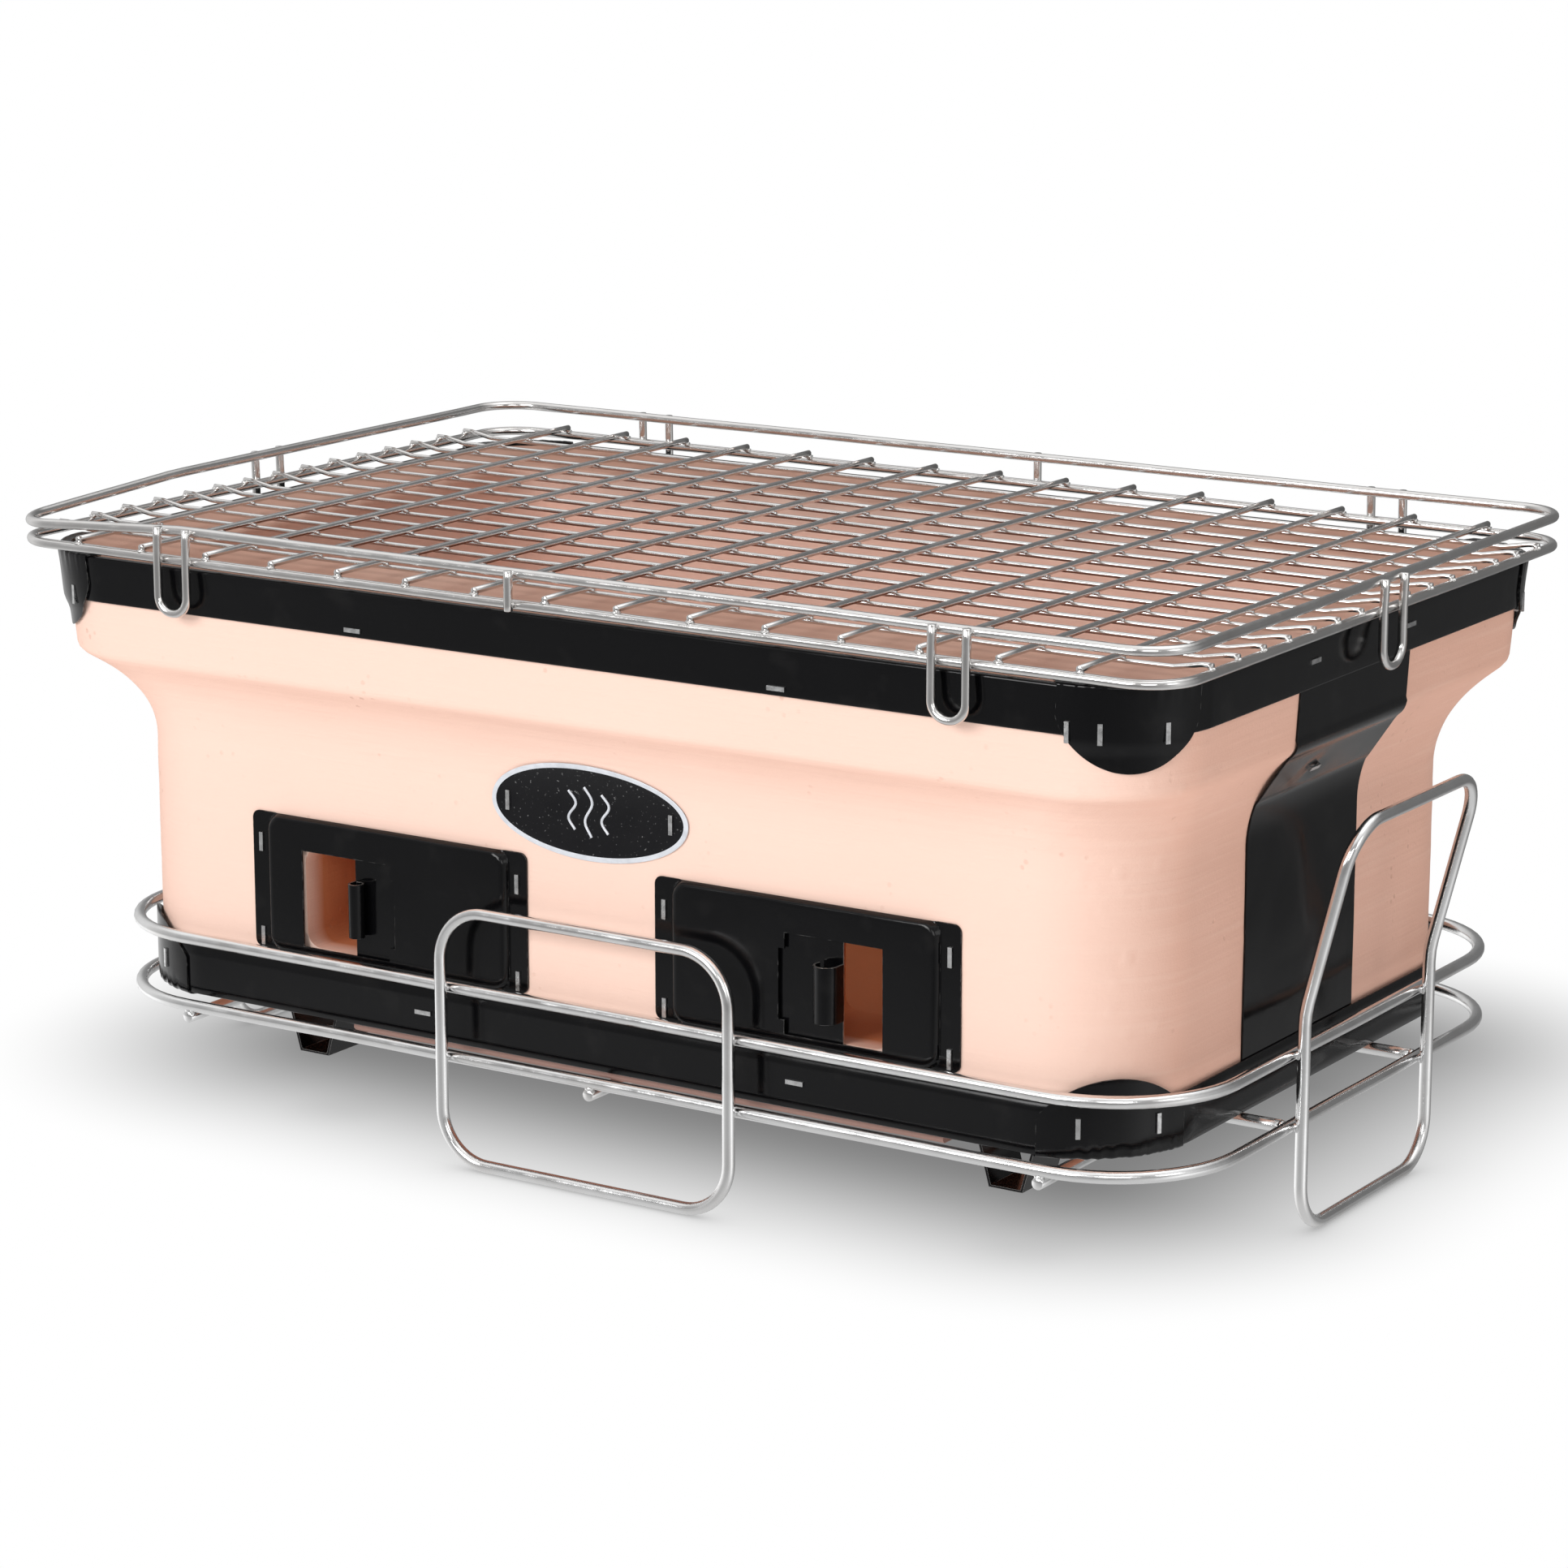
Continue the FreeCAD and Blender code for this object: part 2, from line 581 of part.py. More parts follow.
def badge_plate():
    """Thin oval plate bent to the front wall and the start of the cove."""
    steps = 8
    margin = 1.0
    low = BADGE_Z - BADGE_HEIGHT / 2 - margin
    high = BADGE_Z + BADGE_HEIGHT / 2 + margin
    heights = [low + (high - low) * i / steps for i in range(steps + 1)]
    face = CLAY_DEPTH / 2 + BADGE_GAP
    inner = [V(0, -(face - clay_inset(z, WALL_INSET_SIDES)), z) for z in heights]
    outer = [point - V(0, BADGE_SHEET, 0) for point in inner]
    profile = Part.Face(Part.makePolygon(inner + outer[::-1] + [inner[0]]))
    sheet = profile.extrude(V(BADGE_LENGTH + 2 * margin, 0, 0))
    sheet.translate(V(BADGE_X - BADGE_LENGTH / 2 - margin, 0, 0))
    oval = Part.Ellipse(V(0, 0, 0), BADGE_LENGTH / 2, BADGE_HEIGHT / 2).toShape()
    prism = Part.Face(Part.Wire(oval)).extrude(V(0, 0, CLAY_DEPTH))
    prism.rotate(V(0, 0, 0), V(1, 0, 0), 90)
    prism.translate(V(BADGE_X, 0, BADGE_Z))
    return sheet.common(prism)


def foot(x, side):
    """Tapered sheet channel under the base, open towards the nearest long side."""
    top = CLAY_BOTTOM_Z - HAIR
    bottom = top - FOOT_HEIGHT
    upper = FOOT_TOP_WIDTH / 2
    lower = FOOT_BOTTOM_WIDTH / 2
    flange = upper + FOOT_FLANGE
    right_half = [
        V(lower, 0, bottom),
        V(upper, 0, top - SHEET),
        V(flange, 0, top - SHEET),
        V(flange, 0, top),
        V(upper - SHEET, 0, top),
        V(lower - SHEET, 0, bottom + SHEET),
    ]
    left_half = [V(-point.x, 0, point.z) for point in reversed(right_half)]
    profile = Part.Face(Part.makePolygon(right_half + left_half + right_half[:1]))
    channel = profile.extrude(V(0, FOOT_LENGTH, 0))
    outer_y = CLAY_DEPTH / 2 - WALL_INSET_SIDES - FOOT_SET_BACK
    start = -outer_y if side < 0 else outer_y - FOOT_LENGTH
    channel.translate(V(x, start, 0))
    return channel


# ---------------------------------------------------------------- staples


def staple(position, outwards, along):
    """A staple whose crown lies on the sheet at position and whose legs point into the clay."""
    outwards = unit(outwards)
    along = unit(along)
    across = outwards.cross(along)
    crown = Part.makeBox(STAPLE_LENGTH, STAPLE_WIDTH, STAPLE_CROWN)
    leg = Part.makeBox(STAPLE_CROWN, STAPLE_WIDTH, STAPLE_LEG + STAPLE_CROWN)
    far_leg = leg.copy()
    leg.translate(V(0, 0, -STAPLE_LEG))
    far_leg.translate(V(STAPLE_LENGTH - STAPLE_CROWN, 0, -STAPLE_LEG))
    shape = crown.fuse([leg, far_leg]).removeSplitter()
    shape.translate(V(-STAPLE_LENGTH / 2, -STAPLE_WIDTH / 2, 0))
    matrix = FreeCAD.Matrix(along.x, across.x, outwards.x, position.x,
                            along.y, across.y, outwards.y, position.y,
                            along.z, across.z, outwards.z, position.z,
                            0, 0, 0, 1)
    return shape.transformed(matrix)


X_AXIS = V(1, 0, 0)
Y_AXIS = V(0, 1, 0)
Z_AXIS = V(0, 0, 1)


def long_side_staples(xs, z, stand_off, along):
    """Staples on both long faces of the clay at height z."""
    half = CLAY_DEPTH / 2 - clay_inset(z, WALL_INSET_SIDES) + stand_off
    staples = []
    for side in (-1, 1):
        for x in xs:
            staples.append(staple(V(BODY_X + x, side * half, z), Y_AXIS * side, along))
    return staples


def end_staples(ys, z, stand_off, along):
    """Staples on both end faces of the clay at height z."""
    half = CLAY_LENGTH / 2 - clay_inset(z, WALL_INSET_ENDS) + stand_off
    staples = []
    for side in (-1, 1):
        for y in ys:
            staples.append(staple(V(BODY_X + side * half, y, z), X_AXIS * side, along))
    return staples


BAND_FACE = BAND_GAP + SHEET
CAP_FACE = BAND_FACE + HAIR + SHEET


def rim_band_staples():
    return Part.makeCompound(long_side_staples(RIM_STAPLE_X, RIM_STAPLE_Z, BAND_FACE, X_AXIS)
                             + end_staples(END_STAPLE_Y, RIM_END_STAPLE_Z, BAND_FACE, Y_AXIS))


def base_band_staples():
    return Part.makeCompound(long_side_staples(BASE_STAPLE_X, BASE_STAPLE_Z, BAND_FACE, X_AXIS)
                             + end_staples(END_STAPLE_Y, BASE_END_STAPLE_Z, BAND_FACE, Y_AXIS))


def corner_staples(side_x, side_y, z, angles):
    """Upright staples round one rounded corner, at the given angles from the end face."""
    ends = clay_inset(z, WALL_INSET_ENDS)
    sides = clay_inset(z, WALL_INSET_SIDES)
    corner = CLAY_CORNER + WALL_CORNER_GROWTH * ends / WALL_INSET_ENDS
    centre_x = BODY_X + side_x * (CLAY_LENGTH / 2 - ends - corner)
    centre = V(centre_x, side_y * (CLAY_DEPTH / 2 - sides - corner), z)
    staples = []
    for angle in angles:
        turn = math.radians(angle)
        outwards = V(side_x * math.cos(turn), side_y * math.sin(turn), 0)
        staples.append(staple(centre + outwards * (corner + CAP_FACE), outwards, Z_AXIS))
    return staples


CORNERS = [(row, side_y, name, side_x)
           for row, side_y in (("front", -1), ("back", 1))
           for name, side_x in (("left", -1), ("right", 1))]


def rim_cap_staples():
    staples = []
    for row, side_y, name, side_x in CORNERS:
        angles = SHIFTED_CAP_STAPLES if (row, name) in CAP_SHIFT else RIM_CAP_STAPLES
        staples += corner_staples(side_x, side_y, RIM_CAP_STAPLE_Z, angles)
    return Part.makeCompound(staples)


def base_cap_staples():
    staples = []
    for row, side_y, name, side_x in CORNERS:
        staples += corner_staples(side_x, side_y, BASE_CAP_STAPLE_Z, BASE_CAP_STAPLES)
    return Part.makeCompound(staples)


def strap_staples():
    """One staple through the slope of each strap, up into the clay of the rim."""
    staples = []
    for side in (-1, 1):
        position = strap_point(STRAP_STAPLE_Z, side, SHEET) + V(0, STRAP_STAPLE_Y, 0)
        staples.append(staple(position, strap_normal(STRAP_STAPLE_Z, side), Y_AXIS))
    return Part.makeCompound(staples)


def vent_staples():
    staples = []
    reach = (PLATE_WIDTH + PANEL_WIDTH) / 4
    heights = (PLATE_TOP_Z - 11.5, PLATE_BOTTOM_Z + 4.5)
    for vent in VENTS.values():
        for x in (vent["plate"] - reach, vent["plate"] + reach):
            for z in heights:
                staples.append(staple(V(x, WALL_Y - HAIR - SHEET, z), -Y_AXIS, Z_AXIS))
    return Part.makeCompound(staples)


def badge_staples():
    face_y = -(CLAY_DEPTH / 2 - clay_inset(BADGE_Z, WALL_INSET_SIDES)) - BADGE_GAP - BADGE_SHEET
    staples = []
    for x in (BADGE_X - BADGE_STAPLE_REACH, BADGE_X + BADGE_STAPLE_REACH):
        staples.append(staple(V(x, face_y, BADGE_Z), -Y_AXIS, Z_AXIS))
    return Part.makeCompound(staples)


def foot_staples():
    """Two staples up through each foot's flanges into the underside of the base."""
    staples = []
    reach = FOOT_TOP_WIDTH / 2 + FOOT_FLANGE / 2
    middle = CLAY_DEPTH / 2 - WALL_INSET_SIDES - FOOT_SET_BACK - FOOT_LENGTH / 2
    z = CLAY_BOTTOM_Z - HAIR - SHEET
    for x in FEET_X:
        for y in (-middle, middle):
            for sideways in (-reach, reach):
                staples.append(staple(V(x + sideways, y, z), -Z_AXIS, Y_AXIS))
    return Part.makeCompound(staples)


# ---------------------------------------------------------------- cooking grate

CROSS_WIRE_Z = LOOP_Z + (LOOP_WIRE + CROSS_WIRE) / 2
LONG_WIRE_Z = CROSS_WIRE_Z - (LONG_WIRE + CROSS_WIRE) / 2


def grate_loop():
    return ring(LOOP_LENGTH, LOOP_DEPTH, LOOP_CORNER, LOOP_Z, LOOP_WIRE, GRATE_X)


def grate_rail():
    return ring(RAIL_LENGTH, RAIL_DEPTH, LOOP_CORNER, RAIL_Z, LOOP_WIRE, GRATE_X)


def grate_long_wires():
    """Wires along X under the cross wires; their ends step up on to the loop's end wires."""
    reach = LOOP_LENGTH / 2 + 0.6
    step_end = LOOP_LENGTH / 2 - LOOP_WIRE
    step_start = step_end - LONG_WIRE_CRANK
    end_z = LOOP_Z + (LOOP_WIRE + LONG_WIRE) / 2
    first = -(LONG_WIRE_COUNT - 1) / 2 * LONG_WIRE_PITCH
    bend = 5.0
    wires = []
    for i in range(LONG_WIRE_COUNT):
        y = first + i * LONG_WIRE_PITCH
        left_half = [V(GRATE_X - reach, y, end_z), V(GRATE_X - step_end, y, end_z),
                     V(GRATE_X - step_start, y, LONG_WIRE_Z)]
        right_half = [V(2 * GRATE_X - point.x, y, point.z) for point in reversed(left_half)]
        wires.append(bent_wire(left_half + right_half, [0, bend, bend, bend, bend, 0], LONG_WIRE))
    return Part.makeCompound(wires)


def grate_cross_wires():
    """Straight front-to-back wires that lie on the loop and over the long wires."""
    reach = LOOP_DEPTH / 2 + 0.4
    first = -(CROSS_WIRE_COUNT - 1) / 2 * CROSS_WIRE_PITCH
    wires = []
    for i in range(CROSS_WIRE_COUNT):
        x = GRATE_X + first + i * CROSS_WIRE_PITCH
        wires.append(straight_wire(V(x, -reach, CROSS_WIRE_Z), V(x, reach, CROSS_WIRE_Z), CROSS_WIRE))
    return Part.makeCompound(wires)


def hanger(foot_point, rail_point, along, spacing):
    """U of wire from the rail down past the loop: foot_point is the plane of the U, rail_point the top."""
    half = along * (spacing / 2)
    low = V(foot_point.x, foot_point.y, HANGER_BOTTOM_Z)
    knee = V(foot_point.x, foot_point.y, LOOP_Z + 1.0)
    points = [rail_point - half, knee - half, low - half, low + half, knee + half, rail_point + half]
    bend = spacing * 0.48
    return bent_wire(points, [0, HANGER_KNEE, bend, bend, HANGER_KNEE, 0], HANGER_WIRE)


def grate_hangers():
    loop_y = LOOP_DEPTH / 2 + side_offset(LOOP_WIRE, HANGER_WIRE)
    rail_y = RAIL_DEPTH / 2 + side_offset(LOOP_WIRE, HANGER_WIRE)
    loop_x = LOOP_LENGTH / 2 + side_offset(LOOP_WIRE, HANGER_WIRE)
    rail_x = RAIL_LENGTH / 2 + side_offset(LOOP_WIRE, HANGER_WIRE)
    top = RAIL_Z + HANGER_TOP
    hangers = []
    for side_x in (-1, 1):
        for side_y, distance in ((-1, FRONT_HANGER_X), (1, BACK_HANGER_X)):
            x = GRATE_X + side_x * distance
            foot = V(x, side_y * loop_y, 0)
            hangers.append(hanger(foot, V(x, side_y * rail_y, top), X_AXIS, HANGER_SPACING))
        hangers.append(hanger(V(GRATE_X + side_x * loop_x, 0, 0), V(GRATE_X + side_x * rail_x, 0, top),
                              Y_AXIS, END_HANGER_SPACING))
    return Part.makeCompound(hangers)


def grate_posts():
    """One short post between loop and rail at the middle of each long side."""
    posts = []
    for name, side in (("front", -1), ("back", 1)):
        x = GRATE_X + POST_X[name]
        y = side * (LOOP_DEPTH / 2 + side_offset(LOOP_WIRE, HANGER_WIRE))
        posts.append(straight_wire(V(x, y, LOOP_Z - 2.0), V(x, y, RAIL_Z + HANGER_TOP), HANGER_WIRE))
    return Part.makeCompound(posts)


# ---------------------------------------------------------------- charcoal grate

COAL_LENGTH = CAVITY_LENGTH - 2 * COAL_CLEARANCE - COAL_WIRE
COAL_DEPTH = CAVITY_DEPTH - 2 * COAL_CLEARANCE - COAL_WIRE
COAL_Z = GRATE_SHELF_Z + COAL_WIRE / 2 + HAIR


def charcoal_grate_frame():
    return ring(COAL_LENGTH, COAL_DEPTH, COAL_CORNER, COAL_Z, COAL_WIRE, BODY_X)


def charcoal_grate_bars():
    z = COAL_Z + (COAL_WIRE + COAL_BAR) / 2
    reach = COAL_DEPTH / 2 + 1.0
    count = int((COAL_LENGTH - 2 * COAL_CORNER) / COAL_BAR_PITCH) + 1
    bars = []
    for i in range(count):
        x = BODY_X + (i - (count - 1) / 2) * COAL_BAR_PITCH
        bars.append(straight_wire(V(x, -reach, z), V(x, reach, z), COAL_BAR))
    return Part.makeCompound(bars)


# ---------------------------------------------------------------- export


def all_parts():
    parts = {
        "clay_body": clay_body(),
        "rim_band": rim_band(),
        "base_band": base_band(),
        "badge_plate": badge_plate(),
        "rim_band_staples": rim_band_staples(),
        "base_band_staples": base_band_staples(),
        "rim_cap_staples": rim_cap_staples(),
        "base_cap_staples": base_cap_staples(),
        "strap_staples": strap_staples(),
        "vent_staples": vent_staples(),
        "badge_staples": badge_staples(),
        "foot_staples": foot_staples(),
        "grate_frame_loop": grate_loop(),
        "grate_rail_loop": grate_rail(),
        "grate_long_wires": grate_long_wires(),
        "grate_cross_wires": grate_cross_wires(),
        "grate_hangers": grate_hangers(),
        "grate_posts": grate_posts(),
        "charcoal_grate_frame": charcoal_grate_frame(),
        "charcoal_grate_bars": charcoal_grate_bars(),
        "carrier_lower_loop": carrier_loop(LOWER_LOOP_Z),
        "carrier_upper_loop": carrier_loop(UPPER_LOOP_Z),
        "carrier_support_wires": support_wires(),
        "carrier_cross_wires": cross_wires(),
        "leg_hoop_front": leg_hoop(-1),
        "leg_hoop_back": leg_hoop(1),
    }
    for name, side in (("left", -1), ("right", 1)):
        parts["handle_hoop_" + name] = handle_hoop(side)
        parts["end_strap_" + name] = end_strap(side)
        parts["vent_plate_" + name] = vent_plate(VENTS[name])
        parts["vent_door_" + name] = vent_door(name)
    for row, side_y, name, side_x in CORNERS:
        parts["rim_cap_" + row + "_" + name] = rim_cap(side_x, side_y, CAP_SHIFT.get((row, name), 0.0))
        parts["base_cap_" + row + "_" + name] = base_cap(side_x, side_y)
        parts["foot_" + row + "_" + name] = foot(FEET_X[0] if side_x < 0 else FEET_X[1], side_y)
    return parts


def main():
    os.makedirs("parts", exist_ok=True)
    for name, shape in all_parts().items():
        shape.exportStep("parts/" + name + ".step")


main()
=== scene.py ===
import math

import bmesh
import bpy
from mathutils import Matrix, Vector, kdtree, noise


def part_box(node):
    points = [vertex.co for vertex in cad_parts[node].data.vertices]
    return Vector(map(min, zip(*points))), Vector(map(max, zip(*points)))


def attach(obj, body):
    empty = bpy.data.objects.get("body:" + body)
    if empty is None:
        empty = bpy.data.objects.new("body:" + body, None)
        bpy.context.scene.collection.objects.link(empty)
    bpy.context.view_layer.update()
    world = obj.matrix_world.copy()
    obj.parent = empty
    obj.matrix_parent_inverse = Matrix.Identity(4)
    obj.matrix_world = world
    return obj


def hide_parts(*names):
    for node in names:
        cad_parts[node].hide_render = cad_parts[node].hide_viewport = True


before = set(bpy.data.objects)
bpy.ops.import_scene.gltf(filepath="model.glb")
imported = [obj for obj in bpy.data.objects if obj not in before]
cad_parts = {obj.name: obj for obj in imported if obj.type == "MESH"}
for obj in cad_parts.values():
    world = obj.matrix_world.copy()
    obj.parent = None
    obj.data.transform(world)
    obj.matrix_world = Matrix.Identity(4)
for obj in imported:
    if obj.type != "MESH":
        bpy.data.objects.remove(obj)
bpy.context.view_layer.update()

# Looks for a clay charcoal hibachi in a chromed wire carrier.  Lengths are millimetres in the
# part's own frame (+Z up, X along the long side, -Y towards the vents) until make_piece scales them.

MM = 0.001

# ---------------------------------------------------------------- dimensions shared with the CAD

BODY_X = -5.5
CLAY_LENGTH = 469.0
CLAY_DEPTH = 299.0
CLAY_CORNER = 34.0
CLAY_BOTTOM_Z = 41.6
CLAY_TOP_Z = 205.9
LIP_Z = 171.4
LIP_INSET = 2.0
LIP_UNDER_Z = 166.6
LIP_UNDER_INSET = 5.0
COVE_END_Z = 134.0
WALL_INSET_ENDS = 19.5
WALL_INSET_SIDES = 21.5
WALL_CORNER_GROWTH = 7.0
CAVITY_LENGTH = 388.0
CAVITY_DEPTH = 202.0
CAVITY_CORNER = 14.0
CAVITY_FLOOR_Z = 66.0
GRATE_SHELF_Z = 112.0
GRATE_SHELF = 10.0

SHEET = 0.8
BAND_GAP = 0.9
HAIR = 0.05
BAND_FACE = BAND_GAP + SHEET
CAP_FACE = BAND_FACE + HAIR + SHEET
RIM_BAND_BOTTOM_Z = 190.0
BASE_BAND_TOP_Z = 60.1
STRAP_WIDTH = 83.0
STRAP_Y = -9.0
STRAP_TUCK = 6.0
STRAP_END = 4.0
STRAP_LIP_GAP = 0.25
STRAP_STAPLE_Y = -18.7
STRAP_STAPLE_Z = 157.5

VENTS = {
    "left": {"opening": -110.1, "door_edge": -106.6, "side": -1, "curl": (2.9, 300.0)},
    "right": {"opening": 97.2, "door_edge": 100.4, "side": 1, "curl": (4.6, 205.0)},
}
PANEL_WIDTH = 106.6
PANEL_RISE = 3.2
OPENING_WIDTH = 39.0
OPENING_BOTTOM_Z = 68.0
OPENING_TOP_Z = 103.7
TAB_RECESS = 2.5
TAB_HEIGHT = 20.0
TAB_Z = 85.6
TAB_LEG = 3.4
DOOR_STAND_OFF = 1.7

BADGE_X = -4.3
BADGE_Z = 134.2
BADGE_LENGTH = 83.0
BADGE_HEIGHT = 35.0

CARRIER_WIRE = 4.5
CARRIER_LENGTH = 456.0
CARRIER_DEPTH = 272.0
CARRIER_CORNER = 46.0
LOWER_LOOP_Z = 39.2
UPPER_LOOP_Z = 64.7
LEG_WIDTH = 122.0
LEG_TOP_Z = 94.6
LEG_CORNER = 19.0
HANDLE_WIDTH = 97.0
HANDLE_BEND_Z = 79.5
HANDLE_TOP_Z = 146.0
HANDLE_LEAN = 17.0
HANDLE_CORNER = 17.0
SUPPORT_SPREAD = 100.0
CROSS_SPREAD = 361.0

GRATE_X = -5.2
RAIL_LENGTH = 480.0
RAIL_DEPTH = 304.0
LOOP_LENGTH = 479.2
LOOP_DEPTH = 304.5
LOOP_CORNER = 18.0
LOOP_WIRE = 3.5
LOOP_Z = 209.8
RAIL_Z = 220.6
LONG_WIRE = 1.8
LONG_WIRE_COUNT = 15
LONG_WIRE_PITCH = 17.8
LONG_WIRE_CRANK = 10.0
CROSS_WIRE = 2.4
CROSS_WIRE_COUNT = 15
CROSS_WIRE_PITCH = 29.6
HANGER_WIRE = 3.2
HANGER_BOTTOM_Z = 191.0
HANGER_SPACING = 13.0
FRONT_HANGER_X = 161.0
BACK_HANGER_X = 165.0
END_HANGER_SPACING = 15.0
POST_X = {"front": -13.0, "back": 15.0}
RAIL_DROOP = 4.5

COAL_WIRE = 5.0
COAL_BAR = 4.0
COAL_CLEARANCE = 2.0
COAL_CORNER = 14.0
COAL_BAR_PITCH = 16.0


# ---------------------------------------------------------------- node helpers

WHITE = (1, 1, 1, 1)


class Nodes:
    """Adds shader nodes to one tree; an input is a value or another node's output."""

    def __init__(self, tree):
        self.tree = tree

    def put(self, socket, value):
        if isinstance(value, bpy.types.NodeSocket):
            self.tree.links.new(value, socket)
        else:
            socket.default_value = value

    def add(self, kind, inputs=None, **settings):
        """Outputs of a new node."""
        made = self.tree.nodes.new("ShaderNode" + kind)
        for name, value in settings.items():
            setattr(made, name, value)
        for name, value in (inputs or {}).items():
            self.put(made.inputs[name], value)
        return made.outputs

    def shade(self, **inputs):
        """Sets inputs of the principled shader; names use underscores for spaces."""
        shader = self.tree.nodes["Principled BSDF"]
        for name, value in inputs.items():
            self.put(shader.inputs[name.replace("_", " ")], value)

    def bump(self, height, distance_mm, strength):
        self.shade(Normal=self.add("Bump", {"Height": height, "Distance": distance_mm * MM,
                                            "Strength": strength})["Normal"])

    def maths(self, operation, a, b=0.0):
        return self.add("Math", {0: a, 1: b}, operation=operation)[0]

    def times(self, a, b):
        return self.maths("MULTIPLY", a, b)

    def dot(self, a, b):
        return self.add("VectorMath", {0: a, 1: b}, operation="DOT_PRODUCT")["Value"]

    def length(self, a):
        return self.add("VectorMath", {0: a}, operation="LENGTH")["Value"]

    def remap(self, value, low, high, to_low=0.0, to_high=1.0, **settings):
        return self.add("MapRange", {"Value": value, "From Min": low, "From Max": high,
                                     "To Min": to_low, "To Max": to_high}, **settings)["Result"]

    def mix(self, share, a, b):
        """Colour between a and b; the colour sockets follow the float and vector ones."""
        return self.add("Mix", {0: share, 6: a, 7: b}, data_type="RGBA")[2]

    def choose(self, share, a, b):
        """Shader a or b."""
        return self.add("MixShader", {0: share, 1: a, 2: b})[0]

    def glow(self, strength, kind="Emission"):
        return self.add(kind, {"Color": WHITE, "Strength": strength})[0]

    def place(self):
        return self.add("TexCoord")["Object"]

    def place_parts(self):
        return self.add("SeparateXYZ", {0: self.place()})

    def noise(self, scale, detail=4.0, stretch=(1.0, 1.0, 1.0)):
        """Noise over the object's own coordinates; scale counts features in a metre."""
        placed = self.add("Mapping", {"Vector": self.place(), "Scale": stretch})[0]
        return self.add("TexNoise", {"Vector": placed, "Scale": scale, "Detail": detail})["Fac"]

    def patches(self, scale, detail, low, high, to_low=0.0, to_high=1.0):
        """Noise spread from to_low, where it is below low, to to_high."""
        return self.remap(self.noise(scale, detail), low, high, to_low, to_high)

    def past_rectangle(self, parts, centre, half):
        """Metres, seen from above, from a rectangle given in millimetres; 0 inside it."""
        past = []
        for part, middle, reach in zip(parts, centre, half):
            offset = self.maths("ABSOLUTE", self.maths("SUBTRACT", part, middle * MM))
            past.append(self.maths("MAXIMUM", self.maths("SUBTRACT", offset, reach * MM)))
        return self.length(self.add("CombineXYZ", {"X": past[0], "Y": past[1]})[0])


def new_material(name):
    material = bpy.data.materials.new(name)
    material.use_nodes = True
    return material, Nodes(material.node_tree)


# ---------------------------------------------------------------- materials

CLAY_DARK = (0.770, 0.445, 0.335, 1)
CLAY_LIGHT = (0.820, 0.495, 0.385, 1)
CLAY_STREAK = (0.88, 0.60, 0.48, 1)
# painted light: paler clay for faces turned to the front
CLAY_FRONT_PAINTED_LIGHT = (0.75, 0.550, 0.465, 1)
# painted light: lighter clay inside the cavity
CLAY_CAVITY_PAINTED_LIGHT = (0.97, 0.64, 0.52, 1)
# painted shade: deep red-brown low in the cavity
CLAY_CAVITY_PAINTED_SHADE = (0.60, 0.18, 0.055, 1)
CLAY_SHADED = (0.22, 0.125, 0.105, 1)
CLAY_PIT = (0.52, 0.27, 0.19, 1)
CLAY_BOUNCE = (0.48, 0.48, 0.48, 1)   # what the outer walls throw on the floor is nearly neutral
WALL_SKIN = 0.003                     # metres inside the outer walls that still count as outside


def clay_material():
    """Matt salmon earthenware: brushed slip, pores and grit; painted light makes the front paler and the
    cavity lighter, and painted shade turns the low cavity deep red-brown.
    """
    material, n = new_material("fired_clay")
    parts = n.place_parts()
    corner = CLAY_CORNER + WALL_CORNER_GROWTH
    half = (CLAY_LENGTH / 2 - WALL_INSET_ENDS - corner, CLAY_DEPTH / 2 - WALL_INSET_SIDES - corner)
    past = n.past_rectangle((parts["X"], parts["Y"]), (BODY_X, 0.0), half)
    depth = n.maths("SUBTRACT", corner * MM, past)
    height = parts["Z"]
    base = n.mix(n.patches(9.0, 4.0, 0.35, 0.65), CLAY_DARK, CLAY_LIGHT)
    streaks = n.noise(14.0, 5.0, (1.0, 1.0, 26.0))
    base = n.mix(n.remap(streaks, 0.52, 0.72, 0.0, 0.25), base, CLAY_STREAK)
    # painted light: faces turned to the front, towards the key light, are mixed to a paler clay colour
    facing = n.dot(n.add("NewGeometry")["Normal"], (0.0, -1.0, 0.0))
    base = n.mix(n.remap(facing, 0.2, 1.0, 0.0, 0.85), base, CLAY_FRONT_PAINTED_LIGHT)
    # painted light: the cavity below the rim gets a lighter clay colour, standing in for light that reaches
    # into it
    hollow = n.times(n.remap(depth, WALL_SKIN, 0.010), n.remap(height, 0.203, 0.190))
    base = n.mix(hollow, base, CLAY_CAVITY_PAINTED_LIGHT)
    # painted shade: from about 125 mm down, the cavity, shelf, floor and inner part of the vent tunnels turn
    # deep red-brown
    base = n.mix(n.times(hollow, n.remap(height, 0.125, 0.105, 0.0, 0.92)), base, CLAY_CAVITY_PAINTED_SHADE)
    # the step under the base band stands in the shade of the band
    base = n.mix(n.remap(height, 0.0424, 0.0412, 0.0, 0.90), base, CLAY_SHADED)
    pores = n.remap(n.add("TexVoronoi", {"Vector": n.place(), "Scale": 210.0})["Distance"],
                    0.10, 0.22, 1.0, 0.0)
    pitted = n.times(pores, n.patches(40.0, 4.0, 0.55, 0.70))
    base = n.mix(n.times(pitted, 0.35), base, CLAY_PIT)
    bounced = n.times(n.add("LightPath")["Is Diffuse Ray"], n.maths("LESS_THAN", depth, WALL_SKIN))
    base = n.mix(n.times(bounced, 0.75), base, CLAY_BOUNCE)
    n.shade(Base_Color=base, Roughness=0.88, Specular_IOR_Level=0.25)
    surface = n.maths("ADD", n.times(n.noise(900.0, 6.0), 0.35), n.times(streaks, 1.1))
    n.bump(n.maths("SUBTRACT", surface, pitted), 0.5, 0.5)
    return material


